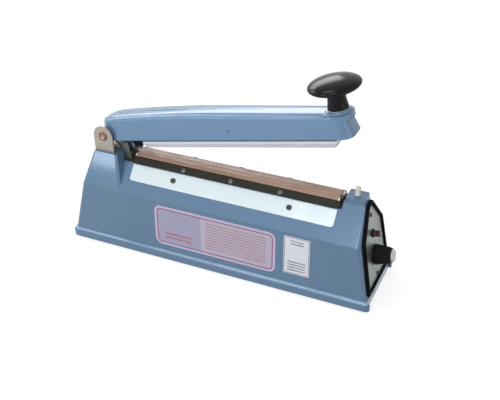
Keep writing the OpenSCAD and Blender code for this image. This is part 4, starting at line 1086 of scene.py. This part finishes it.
hingePinSizes = {"sides": 48, "profile": [  # radius and place across, from the far end to the near one
    (0, 21.4), (2.7, 21.4), (3.0, 21.1), (3.0, 20.1), (2.3, 20.1), (2.3, 19.15), (3.0, 19.15), (3.0, -19.0),
    (4.6, -19.0), (4.55, -19.5), (4.2, -20.0), (3.6, -20.2), (2.9, -20.1), (2.5, -19.8), (2.2, -19.6), (0, -19.5)]}


def makePin(z):
    points, faces = turned(z["profile"], z["sides"])
    return smooth(meshOf("pin", [(x, across, y) for x, y, across in points], faces, Matrix.Translation(hinge)), 40)


addPiece("hinge_pin_dished", makePin(hingePinSizes), ["hinge_pin"])

# Return spring

springSizes = {"wire": 0.9, "radius": 5.2, "half": 6.0, "steps": 174, "start": 235, "step": 9,
               "foot": (11.0, -6.0, -13.45), "tip": (12.3, 6.0, 11.8)}


def makeSpring(z):
    points = [z["foot"]]
    for i in range(z["steps"] + 1):
        angle = deg(z["start"] - z["step"] * i)
        across = -z["half"] + 2 * z["half"] * i / z["steps"]
        points.append((z["radius"] * math.cos(angle), across, z["radius"] * math.sin(angle)))
    points.append(z["tip"])
    curve = bpy.data.curves.new("spring", "CURVE")
    curve.dimensions, curve.bevel_depth, curve.bevel_resolution, curve.use_fill_caps = "3D", z["wire"] * mm, 3, True
    spline = curve.splines.new("POLY")
    spline.points.add(len(points) - 1)
    for spot, point in zip(spline.points, points):
        spot.co = (*(hinge + Vector(point) * mm), 1)
    return smooth(applied(linked("spring", curve)), 50)


spring = addPiece("return_spring_coil", makeSpring(springSizes), ["return_spring"], rides=False)
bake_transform(spring)
print("pin and spring ready")

# Cloth over the seal bar

clothSizes = {
    "from": -98.54, "to": 112.46, "rows": 106, "across": 24, "thick": 0.25, "top": 99.34, "edge": 7.0, "flat": 0.86,
    "bar": 98.8, "slope": 0.902, "out": 0.16 * 1.347, "sides": (93.4, 94.8, 96.2, 97.4, 98.3, 98.8),
    "shoulder": [(0.02, 99.13), (-0.4, 99.32)],  # past the bar's edge, and height
    "ridge": 0.12, "ridgeWide": 1.3, "wave": 0.10, "waveRates": (0.115, 0.6, 1.3, 0.031), "raised": 99.2,
}


def makeCloth(z):
    profile = [(-(z["edge"] + (z["bar"] - h) * z["slope"] + z["out"]), h) for h in z["sides"]]
    profile += [(-z["edge"] - past, h) for past, h in z["shoulder"]]
    steps, edge = z["across"], list(profile)
    profile += [(z["edge"] * (-z["flat"] + 2 * z["flat"] * i / steps), z["top"]) for i in range(steps + 1)]
    profile += [(-y, h) for y, h in reversed(edge)]
    along, over, sway, slow = z["waveRates"]
    points, width = [], len(profile)
    for i in range(z["rows"] + 1):
        x = z["from"] + (z["to"] - z["from"]) * i / z["rows"]
        for y, h in profile:
            lift = 0.0
            if h > z["raised"]:
                slack = max(0.0, 1 - (y / z["edge"]) ** 2)
                lift = z["ridge"] * math.exp(-(y / z["ridgeWide"]) ** 2)
                lift += z["wave"] * slack * (0.5 + 0.5 * math.sin(x * along + over * y + sway * math.sin(x * slow)))
            points.append((x, y, h + lift))
    corners = [i * width + k for i in range(z["rows"]) for k in range(width - 1)]
    mesh = meshOf("cloth", points, [(a, a + width, a + width + 1, a + 1) for a in corners])
    if mesh.polygons[width // 2].normal.z < 0:
        mesh.flip_normals()
    obj = linked("cloth", mesh)
    thicken = obj.modifiers.new("thicken", "SOLIDIFY")
    thicken.thickness, thicken.offset = z["thick"] * mm, 0
    return smooth(applied(obj), 40)


cloth = addPiece("cloth_cover", makeCloth(clothSizes), ["ptfe_cloth"])
print("cloth ready")
